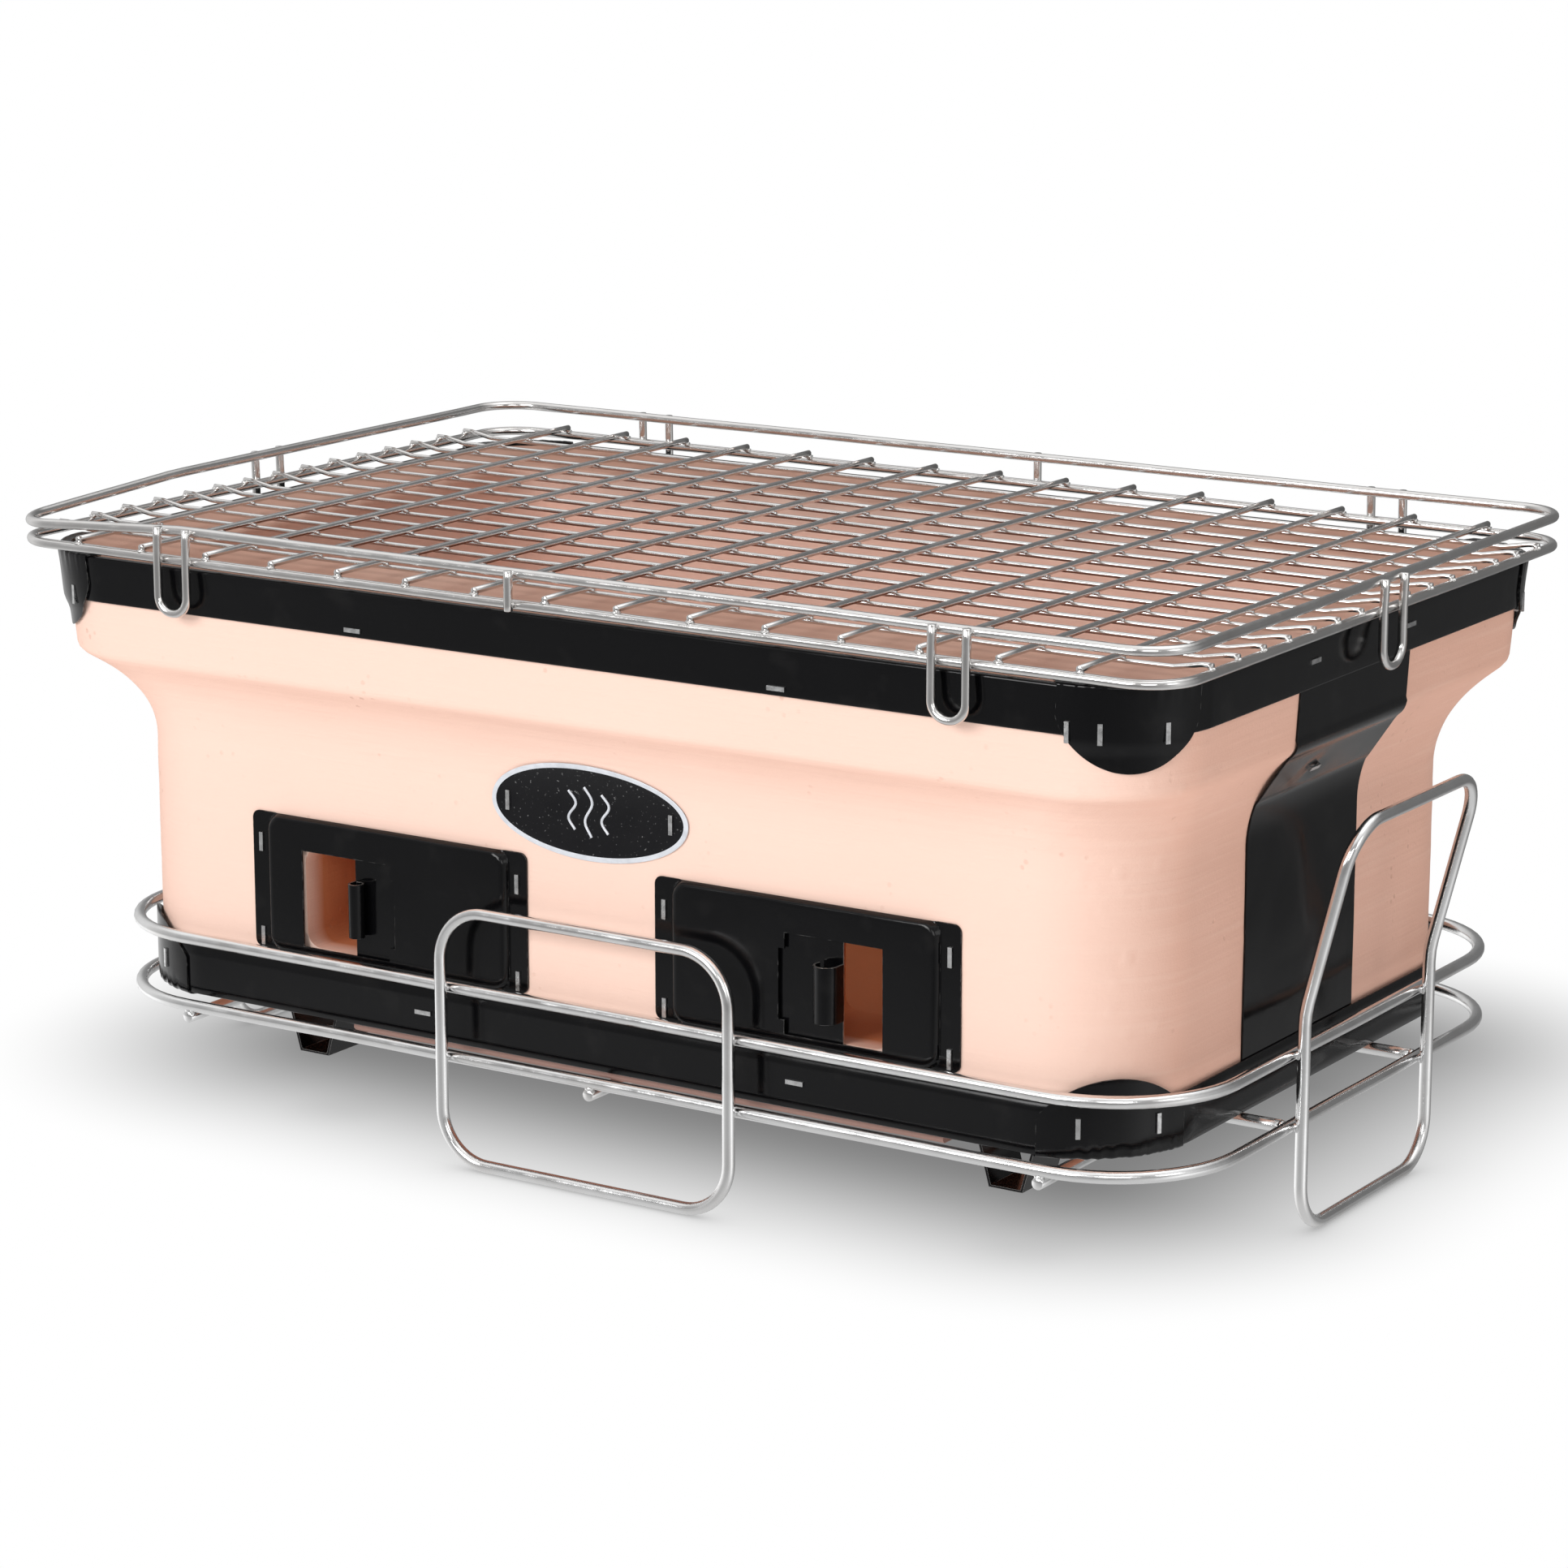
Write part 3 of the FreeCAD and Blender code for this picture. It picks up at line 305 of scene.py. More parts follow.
def enamel_material(name, bare_from, bare_to):
    """Gloss black enamel with orange peel and dust, its corners bare where a noise passes the two levels."""
    material, n = new_material(name)
    rounded = n.add("Bevel", {"Radius": 0.35 * MM}, samples=4)["Normal"]
    corners = n.remap(n.dot(rounded, n.add("NewGeometry")["Normal"]), 0.93, 0.80)
    worn = n.times(corners, n.patches(300.0, 4.0, bare_from, bare_to))
    paint = n.mix(n.patches(60.0, 8.0, 0.58, 0.82), (0.0018, 0.0018, 0.0022, 1), (0.008, 0.0076, 0.0076, 1))
    n.shade(Base_Color=n.mix(worn, paint, (0.42, 0.41, 0.40, 1)), Metallic=worn,
            Roughness=n.patches(35.0, 6.0, 0.3, 0.7, 0.08, 0.20), Specular_IOR_Level=0.25)
    n.bump(n.maths("ADD", n.times(n.noise(520.0, 2.0), 0.10), n.noise(45.0, 2.0)), 0.35, 0.35)
    return material


def chrome_material(name, tint, heat_share):
    """Bright plated wire, dulled and tinted brown where the attribute heat marks a weld."""
    material, n = new_material(name)
    heat = n.add("Attribute", attribute_name="heat")["Fac"]
    burnt = n.times(n.times(heat, n.patches(160.0, 3.0, 0.35, 0.70)), heat_share)
    plated = n.mix(n.patches(45.0, 5.0, 0.45, 0.75, 0.0, 0.30), tint, (0.50, 0.46, 0.43, 1))
    n.shade(Base_Color=n.mix(burnt, plated, (0.33, 0.22, 0.14, 1)), Metallic=1.0,
            Roughness=n.maths("ADD", n.times(burnt, 0.35), n.patches(120.0, 4.0, 0.3, 0.7, 0.10, 0.26)))
    n.bump(n.noise(700.0, 3.0), 0.05, 0.5)
    return material


def steel_material(name, tint, roughness, grain):
    """Bare steel with a drawn grain."""
    material, n = new_material(name)
    dark = [channel * 0.6 for channel in tint[:3]] + [1.0]
    n.shade(Base_Color=n.mix(n.patches(grain, 4.0, 0.35, 0.70), tint, dark), Metallic=1.0,
            Roughness=n.patches(grain * 2, 4.0, 0.3, 0.7, roughness, roughness + 0.2))
    n.bump(n.noise(grain * 6, 3.0), 0.08, 0.5)
    return material


def badge_black_material():
    """Printed black field with fine scuffs."""
    material, n = new_material("badge_black")
    scuffs = n.times(n.patches(900.0, 2.0, 0.66, 0.74), 0.5)
    n.shade(Base_Color=n.mix(scuffs, (0.006, 0.006, 0.007, 1), (0.30, 0.30, 0.30, 1)),
            Roughness=n.patches(80.0, 4.0, 0.3, 0.7, 0.28, 0.42), Specular_IOR_Level=0.15)
    n.bump(n.noise(400.0, 2.0), 0.1, 0.2)
    return material


def badge_silver_material():
    """Pale silver print, faintly uneven."""
    material, n = new_material("badge_silver")
    uneven = n.patches(260.0, 3.0, 0.3, 0.7)
    n.shade(Base_Color=n.mix(uneven, (0.56, 0.58, 0.62, 1), (0.68, 0.70, 0.74, 1)),
            Metallic=0.25, Roughness=0.38)
    n.bump(n.noise(400.0, 2.0), 0.05, 0.2)
    return material


FLOOR_BOUNCE = 0.50           # light that the floor adds to what it throws back on the object
FLOOR_BELOW = 0.45            # its brightness where chrome mirrors it from straight above
SHADOW_DEPTH = 0.22           # brightness of the floor under the object
SHADOW_CENTRE = (-20.0, 68.0)
SHADOW_CORE = (155.0, 98.0)   # half length and half depth of the shadow's darkest part
SHADOW_REACH = 0.16           # metres over which it fades from there
# brightness of the room that enamel and chrome mirror, by direction in degrees from +X towards +Y
ROOM = ((-180, 0.90), (-150, 0.60), (-123, 0.36), (-85, 0.30), (-57, 0.32), (-25, 0.50), (0, 0.90),
        (25, 0.50), (57, 0.20), (95, 0.20), (125, 0.30), (150, 0.75), (180, 0.90))


def room_level(n, direction):
    """Brightness of the mirrored room where a ray leaves for, and how steeply the ray climbs."""
    parts = n.add("SeparateXYZ", {0: direction})
    turn = n.maths("ARCTAN2", parts["Y"], parts["X"])
    levels = n.add("ValToRGB", {"Fac": n.remap(turn, -math.pi, math.pi)})["Color"]
    elements = levels.node.color_ramp.elements
    for degrees, _ in ROOM[1:-1]:
        elements.new((degrees + 180) / 360)
    for element, (_, level) in zip(elements, ROOM):
        element.color = (level, level, level, 1)
    return levels, parts["Z"]


def floor_shadow(n):
    """Soft shadow under the object, darker where wires stand on the floor."""
    parts = n.place_parts()
    distance = n.past_rectangle((parts["X"], parts["Y"]), SHADOW_CENTRE, SHADOW_CORE)
    wide = n.remap(distance, 0.0, SHADOW_REACH, SHADOW_DEPTH, 1.0, interpolation_type="SMOOTHSTEP")
    touching = n.add("AmbientOcclusion", {"Distance": 0.03}, samples=8)["AO"]
    return n.times(wide, n.remap(touching, 0.2, 0.95, 0.6, 1.0))


def floor_material():
    """Pale matt floor: white with a soft shadow to the camera, a dim room's floor in mirrors."""
    material, n = new_material("pale_floor")
    n.shade(Base_Color=n.mix(n.patches(3.0, 4.0, 0.3, 0.7), (0.90, 0.90, 0.90, 1), (0.91, 0.91, 0.91, 1)),
            Roughness=0.9, Specular_IOR_Level=0.1)
    path = n.add("LightPath")
    matt = n.tree.nodes["Principled BSDF"].outputs[0]
    lighting = n.add("AddShader", {0: matt, 1: n.glow(FLOOR_BOUNCE)})[0]
    incoming = n.add("NewGeometry")["Incoming"]
    outgoing = n.add("VectorMath", {0: incoming, "Scale": -1.0}, operation="SCALE")[0]
    level, steepness = room_level(n, outgoing)
    dim = n.add("Mix", {0: n.remap(steepness, -0.35, -0.85), 2: level, 3: FLOOR_BELOW})[0]
    falling = n.remap(n.length(n.place()), 0.34, 0.52, 1.6, 0.95)
    unseen = n.choose(path["Is Glossy Ray"], lighting, n.glow(n.times(dim, falling)))
    shown = n.choose(path["Is Camera Ray"], unseen, n.glow(floor_shadow(n)))
    n.put(n.tree.nodes["Material Output"].inputs["Surface"], shown)
    return material


CLAY = clay_material()
ENAMEL = enamel_material("black_enamel", 0.50, 0.64)
WORN_ENAMEL = enamel_material("worn_black_enamel", 0.28, 0.42)
CUT_EDGE = steel_material("bare_cut_edge", (0.62, 0.60, 0.57, 1), 0.25, 400.0)
STAPLE = steel_material("staple_steel", (0.70, 0.70, 0.70, 1), 0.22, 500.0)
CARRIER_CHROME = chrome_material("carrier_chrome", (0.76, 0.76, 0.76, 1), 0.75)
GRATE_CHROME = chrome_material("grate_chrome", (0.70, 0.69, 0.68, 1), 0.55)
COAL_STEEL = steel_material("coal_grate_steel", (0.36, 0.34, 0.32, 1), 0.38, 220.0)
BADGE_BLACK = badge_black_material()
BADGE_SILVER = badge_silver_material()

# ---------------------------------------------------------------- mesh helpers

X_AXIS = Vector((1, 0, 0))
Y_AXIS = Vector((0, 1, 0))
Z_AXIS = Vector((0, 0, 1))


def make_piece(name, points, faces, body, materials, replaced=(), sharp_angle=40.0):
    """Mesh object from points in millimetres, shaded smooth up to sharp_angle, riding on its body."""
    mesh = bpy.data.meshes.new(name)
    mesh.from_pydata([(x * MM, y * MM, z * MM) for x, y, z in points], [], faces)
    for material in materials:
        mesh.materials.append(material)
    mesh.shade_smooth()
    mesh.set_sharp_from_angle(angle=math.radians(sharp_angle))
    piece = bpy.data.objects.new(name, mesh)
    bpy.context.scene.collection.objects.link(piece)
    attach(piece, body)
    if replaced:
        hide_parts(*replaced)
    return piece


def enamelled(name, points, faces, node, sharp_angle):
    """Piece of black sheet on the firebox, in place of a CAD node."""
    return make_piece(name, points, faces, "firebox", [ENAMEL], [node], sharp_angle)


def grid_faces(rows, columns, closed_columns=False, closed_rows=False, capped=False):
    """Quads between the points of a grid stored row by row; capped closes its first and last rows."""
    faces = []
    for r in range(rows if closed_rows else rows - 1):
        for c in range(columns if closed_columns else columns - 1):
            below = r * columns
            above = (r + 1) % rows * columns
            right = (c + 1) % columns
            faces.append((below + c, below + right, above + right, above + c))
    if capped:
        faces.append(tuple(reversed(range(columns))))
        faces.append(tuple(range((rows - 1) * columns, rows * columns)))
    return faces


def soften(piece, bevel):
    edge = piece.modifiers.new("soft_edges", "BEVEL")
    edge.width = bevel * MM
    edge.segments = 2
    edge.limit_method = "ANGLE"
    edge.angle_limit = math.radians(50)
    edge.harden_normals = True


def thicken(piece, thickness, edge_material=0, bevel=0.2):
    """Gives a sheet its thickness inwards from its outer face, and breaks its cut edges."""
    solid = piece.modifiers.new("thickness", "SOLIDIFY")
    solid.thickness = thickness * MM
    solid.offset = -1.0
    solid.use_even_offset = True
    solid.material_offset_rim = edge_material
    soften(piece, bevel)


def wobble(x, y, z, reach, amount):
    """Smooth random height of one hand-made surface: reach is the size of its swells."""
    return amount * noise.noise(Vector((x, y, z)) / reach)


def ramp(value, start, end):
    """0 before start, 1 past end, straight between; start may be the larger of the two."""
    return min(1.0, max(0.0, (value - start) / (end - start)))


def shares(count, first=0):
    """Even steps from 0 to 1."""
    return [i / count for i in range(first, count + 1)]


def quarter(steps, first=1):
    """Sine and cosine at even steps of a quarter turn."""
    turns = [math.radians(90 * share) for share in shares(steps, first)]
    return [(math.sin(turn), math.cos(turn)) for turn in turns]


def spaced(stops, step):
    """Numbers through all the stops in order, no further apart than step."""
    values = [stops[0]]
    for low, high in zip(stops, stops[1:]):
        values += [low + (high - low) * share for share in shares(max(1, math.ceil((high - low) / step)), 1)]
    return values


def arc_height(across, half_width, shoulder, tip):
    """Height of the round lobe through both shoulders and the tip, at a place across it."""
    rise = abs(tip - shoulder)
    radius = (half_width ** 2 + rise ** 2) / (2 * rise)
    drop = radius - math.sqrt(max(radius ** 2 - across ** 2, 0.0))
    return tip + drop if shoulder > tip else tip - drop


# ---------------------------------------------------------------- clay outline


def cove_share(z):
    """How far the cove stands in towards the wall at height z; its section is an arc tangent to the wall."""
    height = LIP_UNDER_Z - COVE_END_Z
    depth = WALL_INSET_ENDS - LIP_UNDER_INSET
    radius = (height ** 2 + depth ** 2) / (2 * depth)
    return 1 - (radius - math.sqrt(radius ** 2 - (z - COVE_END_Z) ** 2)) / depth


def clay_inset(z, wall_inset):
    """How far the clay's face stands in from the rim's outer edge at height z."""
    if z >= LIP_Z:
        return LIP_INSET * (CLAY_TOP_Z - z) / (CLAY_TOP_Z - LIP_Z)
    if z > LIP_UNDER_Z:
        share = (LIP_Z - z) / (LIP_Z - LIP_UNDER_Z)
        return LIP_INSET + (LIP_UNDER_INSET - LIP_INSET) * share ** 2
    if z > COVE_END_Z:
        return LIP_UNDER_INSET + (wall_inset - LIP_UNDER_INSET) * cove_share(z)
    return wall_inset


def clay_section(z, stand_off=0.0):
    """Length, depth and corner radius of the clay at height z, grown outwards by stand_off."""
    ends = clay_inset(z, WALL_INSET_ENDS)
    sides = clay_inset(z, WALL_INSET_SIDES)
    corner = CLAY_CORNER + WALL_CORNER_GROWTH * ends / WALL_INSET_ENDS
    return (CLAY_LENGTH - 2 * ends + 2 * stand_off, CLAY_DEPTH - 2 * sides + 2 * stand_off,
            corner + stand_off)


END_STEPS = 84
SIDE_STEPS = 140
CORNER_STEPS = 36


def outline(length, depth, corner):
    """Points round a rounded rectangle with their outward directions, anticlockwise from above."""
    x = length / 2 - corner
    y = depth / 2 - corner
    centres = [(x, -y), (x, y), (-x, y), (-x, -y)]
    straights = [END_STEPS, SIDE_STEPS, END_STEPS, SIDE_STEPS]
    points = []
    for k, (centre_x, centre_y) in enumerate(centres):
        for i in range(CORNER_STEPS + 1):
            turn = math.radians(90 * (k - 1 + i / CORNER_STEPS))
            out_x, out_y = math.cos(turn), math.sin(turn)
            points.append((BODY_X + centre_x + corner * out_x, centre_y + corner * out_y, out_x, out_y))
        from_x, from_y, out_x, out_y = points[-1]
        next_x, next_y = centres[(k + 1) % 4]
        to_x = BODY_X + next_x + corner * out_x
        to_y = next_y + corner * out_y
        for i in range(1, straights[k]):
            share = i / straights[k]
            points.append((from_x + (to_x - from_x) * share, from_y + (to_y - from_y) * share, out_x, out_y))
    return points


def wrapped_band(profile, dent):
    """Closed hoop round the clay: profile lists (height, stand-off) round the sheet's section."""
    points = []
    for z, stand_off in profile:
        for x, y, out_x, out_y in outline(*clay_section(z, stand_off)):
            push = wobble(x, y, z, 55.0, dent)
            points.append((x + out_x * push, y + out_y * push, z))
    columns = len(points) // len(profile)
    return points, grid_faces(len(profile), columns, closed_columns=True, closed_rows=True)


def corner_point(z, stand_off, along, side_x, side_y):
    """Point on a corner of the clay: along is measured round the outline from the corner's middle."""
    length, depth, corner = clay_section(z, stand_off)
    half_arc = corner * math.pi / 4
    bend = max(-half_arc, min(half_arc, along))
    turn = math.pi / 4 + bend / corner
    run = along - bend
    out_x, out_y = math.cos(turn), math.sin(turn)
    x = length / 2 - corner + corner * out_x - run * out_y
    y = depth / 2 - corner + corner * out_y + run * out_x
    return Vector((BODY_X + side_x * x, side_y * y, z)), Vector((side_x * out_x, side_y * out_y, 0))


# ---------------------------------------------------------------- clay body

FOOT_RAIL_Z = 38.2
FOOT_RAIL_DEPTH = 16.0
FOOT_GAP = 4.0                # from a foot to the end of the clay step beside it
ROW_STEP = 1.7
EDGE_ROUND = 2.2
CUT_GROWTH = 0.8              # the tunnels are this much wider than the openings, all round
CUT_CORNER = 6.0


def drawn_in(section, inset, z):
    """Row of a (length, depth, corner) section made smaller by inset all round."""
    length, depth, corner = section
    return (length - 2 * inset, depth - 2 * inset, corner - inset, z)


def clay_rows():
    """Outer wall, rim, cavity and shelf as rows of (length, depth, corner, height)."""
    low = CLAY_BOTTOM_Z + EDGE_ROUND
    high = CLAY_TOP_Z - EDGE_ROUND
    rows = [drawn_in(clay_section(CLAY_BOTTOM_Z), EDGE_ROUND * (1 - rise), low - EDGE_ROUND * run)
            for rise, run in quarter(4, 0)[:-1]]
    for share in shares(int((high - low) / ROW_STEP)):
        z = low + (high - low) * share
        rows.append((*clay_section(z), z))
    rows += [drawn_in(clay_section(CLAY_TOP_Z), EDGE_ROUND * (1 - run), high + EDGE_ROUND * rise)
             for rise, run in quarter(4)]
    inner = (CAVITY_LENGTH + 2 * EDGE_ROUND, CAVITY_DEPTH + 2 * EDGE_ROUND, CAVITY_CORNER + EDGE_ROUND)
    outer = rows[-1][:3]
    for share in shares(12, 1):
        rows.append(tuple(a + (b - a) * share for a, b in zip(outer, inner)) + (CLAY_TOP_Z,))
    shelf = 2 * GRATE_SHELF
    rows += stepped_wall(CAVITY_LENGTH, CAVITY_DEPTH, CLAY_TOP_Z, GRATE_SHELF_Z)
    return rows + stepped_wall(CAVITY_LENGTH - shelf, CAVITY_DEPTH - shelf, GRATE_SHELF_Z, CAVITY_FLOOR_Z)


def stepped_wall(length, depth, top, bottom):
    """Rows down one upright wall of the cavity, with a rounded upper edge and a small foot fillet."""
    section = (length, depth, CAVITY_CORNER)
    low = bottom + EDGE_ROUND
    high = top - EDGE_ROUND
    rows = [drawn_in(section, -EDGE_ROUND * (1 - rise), high + EDGE_ROUND * run)
            for rise, run in quarter(4)]
    rows += [(*section, high + (low - high) * share) for share in shares(int((top - bottom) / 6), 1)]
    return rows + [drawn_in(section, EDGE_ROUND * (1 - run), low - EDGE_ROUND * rise)
                   for rise, run in quarter(3)]


def clay_relief(x, y, z):
    """Outward push of the clay's face: broad swells, hand marks, and crumbs by the front right corner."""
    push = wobble(x, y, z, 75.0, 0.40) + wobble(x, y, z * 2.2, 24.0, 0.16)
    push += wobble(x, y, z * 6.0, 34.0, 0.07)
    bare = ramp(z, 182.0, 172.0) * ramp(z, 60.0, 70.0)
    near_corner = ramp(x, 150.0, 210.0) * ramp(y, -95.0, -107.0)
    crumbs = max(0.0, noise.noise(Vector((x, y, z)) / 3.1) - 0.42)
    return push * (0.4 + 0.6 * bare) + crumbs * 2.4 * near_corner * bare


def clay_casting():
    rows = clay_rows()
    points = []
    for length, depth, corner, z in rows:
        outside = length > CAVITY_LENGTH + 3 * EDGE_ROUND and z < CLAY_TOP_Z - 0.1
        inside = z > CAVITY_FLOOR_Z + 0.1 and length < CAVITY_LENGTH + 0.1
        for x, y, out_x, out_y in outline(length, depth, corner):
            push = 0.0
            drop = 0.0
            if outside:
                push = clay_relief(x, y, z)
            elif inside:
                push = -wobble(x, y, z, 30.0, 0.5)
            elif z > CLAY_TOP_Z - 0.1:
                drop = abs(wobble(x, y, z, 22.0, 0.35))
            points.append((x + out_x * push, y + out_y * push, z - drop))
    faces = grid_faces(len(rows), len(points) // len(rows), closed_columns=True, capped=True)
    casting = make_piece("clay_body_cast", points, faces, "firebox", [CLAY], ["clay_body"], 60.0)
    cutters = [tunnel_cutter(vent["opening"]) for vent in VENTS.values()]
    for cutter in cutters:
        cut = casting.modifiers.new("vent_tunnel", "BOOLEAN")
        cut.object = cutter
        cut.solver = "EXACT"
    evaluated = casting.evaluated_get(bpy.context.evaluated_depsgraph_get())
    carved = bpy.data.meshes.new_from_object(evaluated)
    casting.modifiers.clear()
    casting.data = carved
    for cutter in cutters:
        bpy.data.objects.remove(cutter)


def clay_foot_rail(name, side):
    """Low step of clay under a long wall, between the feet, that shows below the base band."""
    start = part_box("foot_front_left")[1].x / MM + FOOT_GAP
    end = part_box("foot_front_right")[0].x / MM - FOOT_GAP
    outer = CLAY_DEPTH / 2 - WALL_INSET_SIDES - 1.5
    inner = outer - FOOT_RAIL_DEPTH
    section = [(outer, CLAY_BOTTOM_Z + 1), (outer, FOOT_RAIL_Z + 1), (outer - 1, FOOT_RAIL_Z),
               (inner + 1, FOOT_RAIL_Z), (inner, FOOT_RAIL_Z + 1), (inner, CLAY_BOTTOM_Z + 1)]
    xs = spaced((start, end), 6.0)
    points = [(x, side * (y + wobble(x, y, z, 20.0, 0.4)), z + wobble(x, z, y, 16.0, 0.25))
              for x in xs for y, z in section]
    faces = grid_faces(len(xs), len(section), closed_columns=True, capped=True)
    if side > 0:
        faces = [tuple(reversed(face)) for face in faces]
    make_piece("clay_foot_rail_" + name, points, faces, "firebox", [CLAY], (), 30.0)


def tunnel_cutter(x):
    """Rounded prism through the front wall behind a vent plate."""
    half_x = OPENING_WIDTH / 2 + CUT_GROWTH - CUT_CORNER
    middle_z = (OPENING_TOP_Z + OPENING_BOTTOM_Z) / 2
    half_z = (OPENING_TOP_Z - OPENING_BOTTOM_Z) / 2 + CUT_GROWTH - CUT_CORNER
    front = -CLAY_DEPTH / 2
    back = -CAVITY_DEPTH / 2 + 2 * GRATE_SHELF
    section = []
    for corner, (side_x, side_z) in enumerate(((1, 1), (-1, 1), (-1, -1), (1, -1))):
        for share in shares(6):
            turn = math.radians(90 * (corner + share))
            section.append((x + side_x * half_x + CUT_CORNER * math.cos(turn),
                            middle_z + side_z * half_z + CUT_CORNER * math.sin(turn)))
    depths = [front + (back - front) * share for share in shares(12)]
    points = []
    for y in depths:
        for section_x, section_z in section:
            rough = wobble(section_x, y, section_z, 7.0, 0.5)
            points.append(((section_x + rough) * MM, y * MM, (section_z + rough) * MM))
    mesh = bpy.data.meshes.new("tunnel")
    mesh.from_pydata(points, [], grid_faces(len(depths), len(section), closed_columns=True, capped=True))
    shaping = bmesh.new()
    shaping.from_mesh(mesh)
    bmesh.ops.recalc_face_normals(shaping, faces=shaping.faces)
    shaping.to_mesh(mesh)
    shaping.free()
    cutter = bpy.data.objects.new("tunnel", mesh)
    bpy.context.scene.collection.objects.link(cutter)
    cutter.hide_render = True
    return cutter


# ---------------------------------------------------------------- bands, caps, straps

BAND_DENT = 0.12
STRAP_DENT = 0.8
FOLD_BEND = 1.1               # radius of the rim band's rounded upper edge
FOLD_REACH = 1.2


def rim_band():
    """Hoop round the rim with a rounded narrow fold over the clay's top edge."""
    low = RIM_BAND_BOTTOM_Z + 0.5
    top = CLAY_TOP_Z + HAIR + SHEET
    profile = [(low - 0.3, BAND_FACE - 0.05)]
    profile += [(low + (top - FOLD_BEND - low) * share, BAND_FACE) for share in shares(6)]
    profile += [(top - FOLD_BEND * (1 - rise), BAND_FACE - FOLD_BEND * (1 - run)) for rise, run in quarter(4)]
    profile += [(top, -0.9), (top - 0.25, -FOLD_REACH), (top - SHEET, -FOLD_REACH),
                (top - SHEET, BAND_GAP - 0.3), (top - SHEET - 0.3, BAND_GAP),
                (RIM_BAND_BOTTOM_Z + 0.2, BAND_GAP), (RIM_BAND_BOTTOM_Z, BAND_GAP + 0.2),
                (RIM_BAND_BOTTOM_Z, BAND_FACE - 0.25)]
    enamelled("rim_band_hoop", *wrapped_band(profile, BAND_DENT), "rim_band", 50.0)


def base_band():
    low = CLAY_BOTTOM_Z
    top = BASE_BAND_TOP_Z
    profile = [(low, BAND_FACE - 0.25), (low + 0.25, BAND_FACE)]
    profile += [(low + (top - 0.25 - low) * share, BAND_FACE) for share in shares(5, 1)]
    profile += [(top, BAND_FACE - 0.25), (top, BAND_GAP + 0.2), (top - 0.2, BAND_GAP),
                (low + 0.2, BAND_GAP), (low, BAND_GAP + 0.2)]
    enamelled("base_band_hoop", *wrapped_band(profile, BAND_DENT), "base_band", 50.0)


CAP_HALF_WIDTH = 23.0
CAP_TIP_Z = 178.0
CAP_SHOULDER_Z = 196.0
CAP_SHIFT = {"front_right": 4.0}
CAP_HUG = 1.1                 # outer face of a cap above the bare clay below the band
CAP_FOLD = 5.0
CAP_BEND = 1.6
CAP_PLEAT = 0.30              # height of the gathered folds on a rim cap's top
BASE_CAP_HALF_WIDTH = 25.5
BASE_CAP_TIP_Z = 68.6
BASE_CAP_SHOULDER_Z = 55.0
BASE_CAP_BEND = 1.8
CAP_COLUMNS = 72
CAP_SEARCH = 80.0             # a cap's edges are nearer than this to the corner's middle


def across_corner(z, along):
    """Distance along the corner's chord of a point on the cap, from how far round the outline it lies."""
    point, _ = corner_point(z, CAP_FACE, along, 1, 1)
    middle, _ = corner_point(z, CAP_FACE, 0.0, 1, 1)
    return (point - middle).dot(Vector((-1, 1, 0)).normalized())


def cap_reach(z, across):
    """How far round the outline from the corner's middle a place across the corner is."""
    low, high = -CAP_SEARCH, CAP_SEARCH
    for _ in range(30):
        middle = (low + high) / 2
        if across_corner(z, middle) < across:
            low = middle
        else:
            high = middle
    return low


def cap_columns(z, half_width, shift, side_x, side_y):
    """Places round the outline where a cap's columns stand, closer together near its edges."""
    start = cap_reach(z, shift - half_width)
    end = cap_reach(z, shift + half_width)
    columns = [(start + end) / 2 + (end - start) / 2 * math.sin(math.pi * (share - 0.5))
               for share in shares(CAP_COLUMNS)]
    return columns if side_x * side_y > 0 else columns[::-1]


def skirt_stand_off(z):
    """A rim cap's skirt stands out over the band, then closes on the clay below it."""
    closed = ramp(z, RIM_BAND_BOTTOM_Z - 0.5, RIM_BAND_BOTTOM_Z - 7.5)
    return CAP_FACE + (CAP_HUG - CAP_FACE) * closed * closed * (3 - 2 * closed)


def pleats(along, reach, seed):
    """Folds pressed into a cap where the sheet is gathered round the corner: 0 to 1."""
    gathered = max(0.0, 1.0 - abs(along) / reach)
    ripple = noise.noise(Vector((along / 2.3, seed * 7.7, 0.0)))
    fine = noise.noise(Vector((along / 1.1, seed * 3.1, 5.0)))
    return min(1.0, max(0.0, 0.45 + 0.9 * ripple + 0.35 * fine)) * min(1.0, gathered * 4)


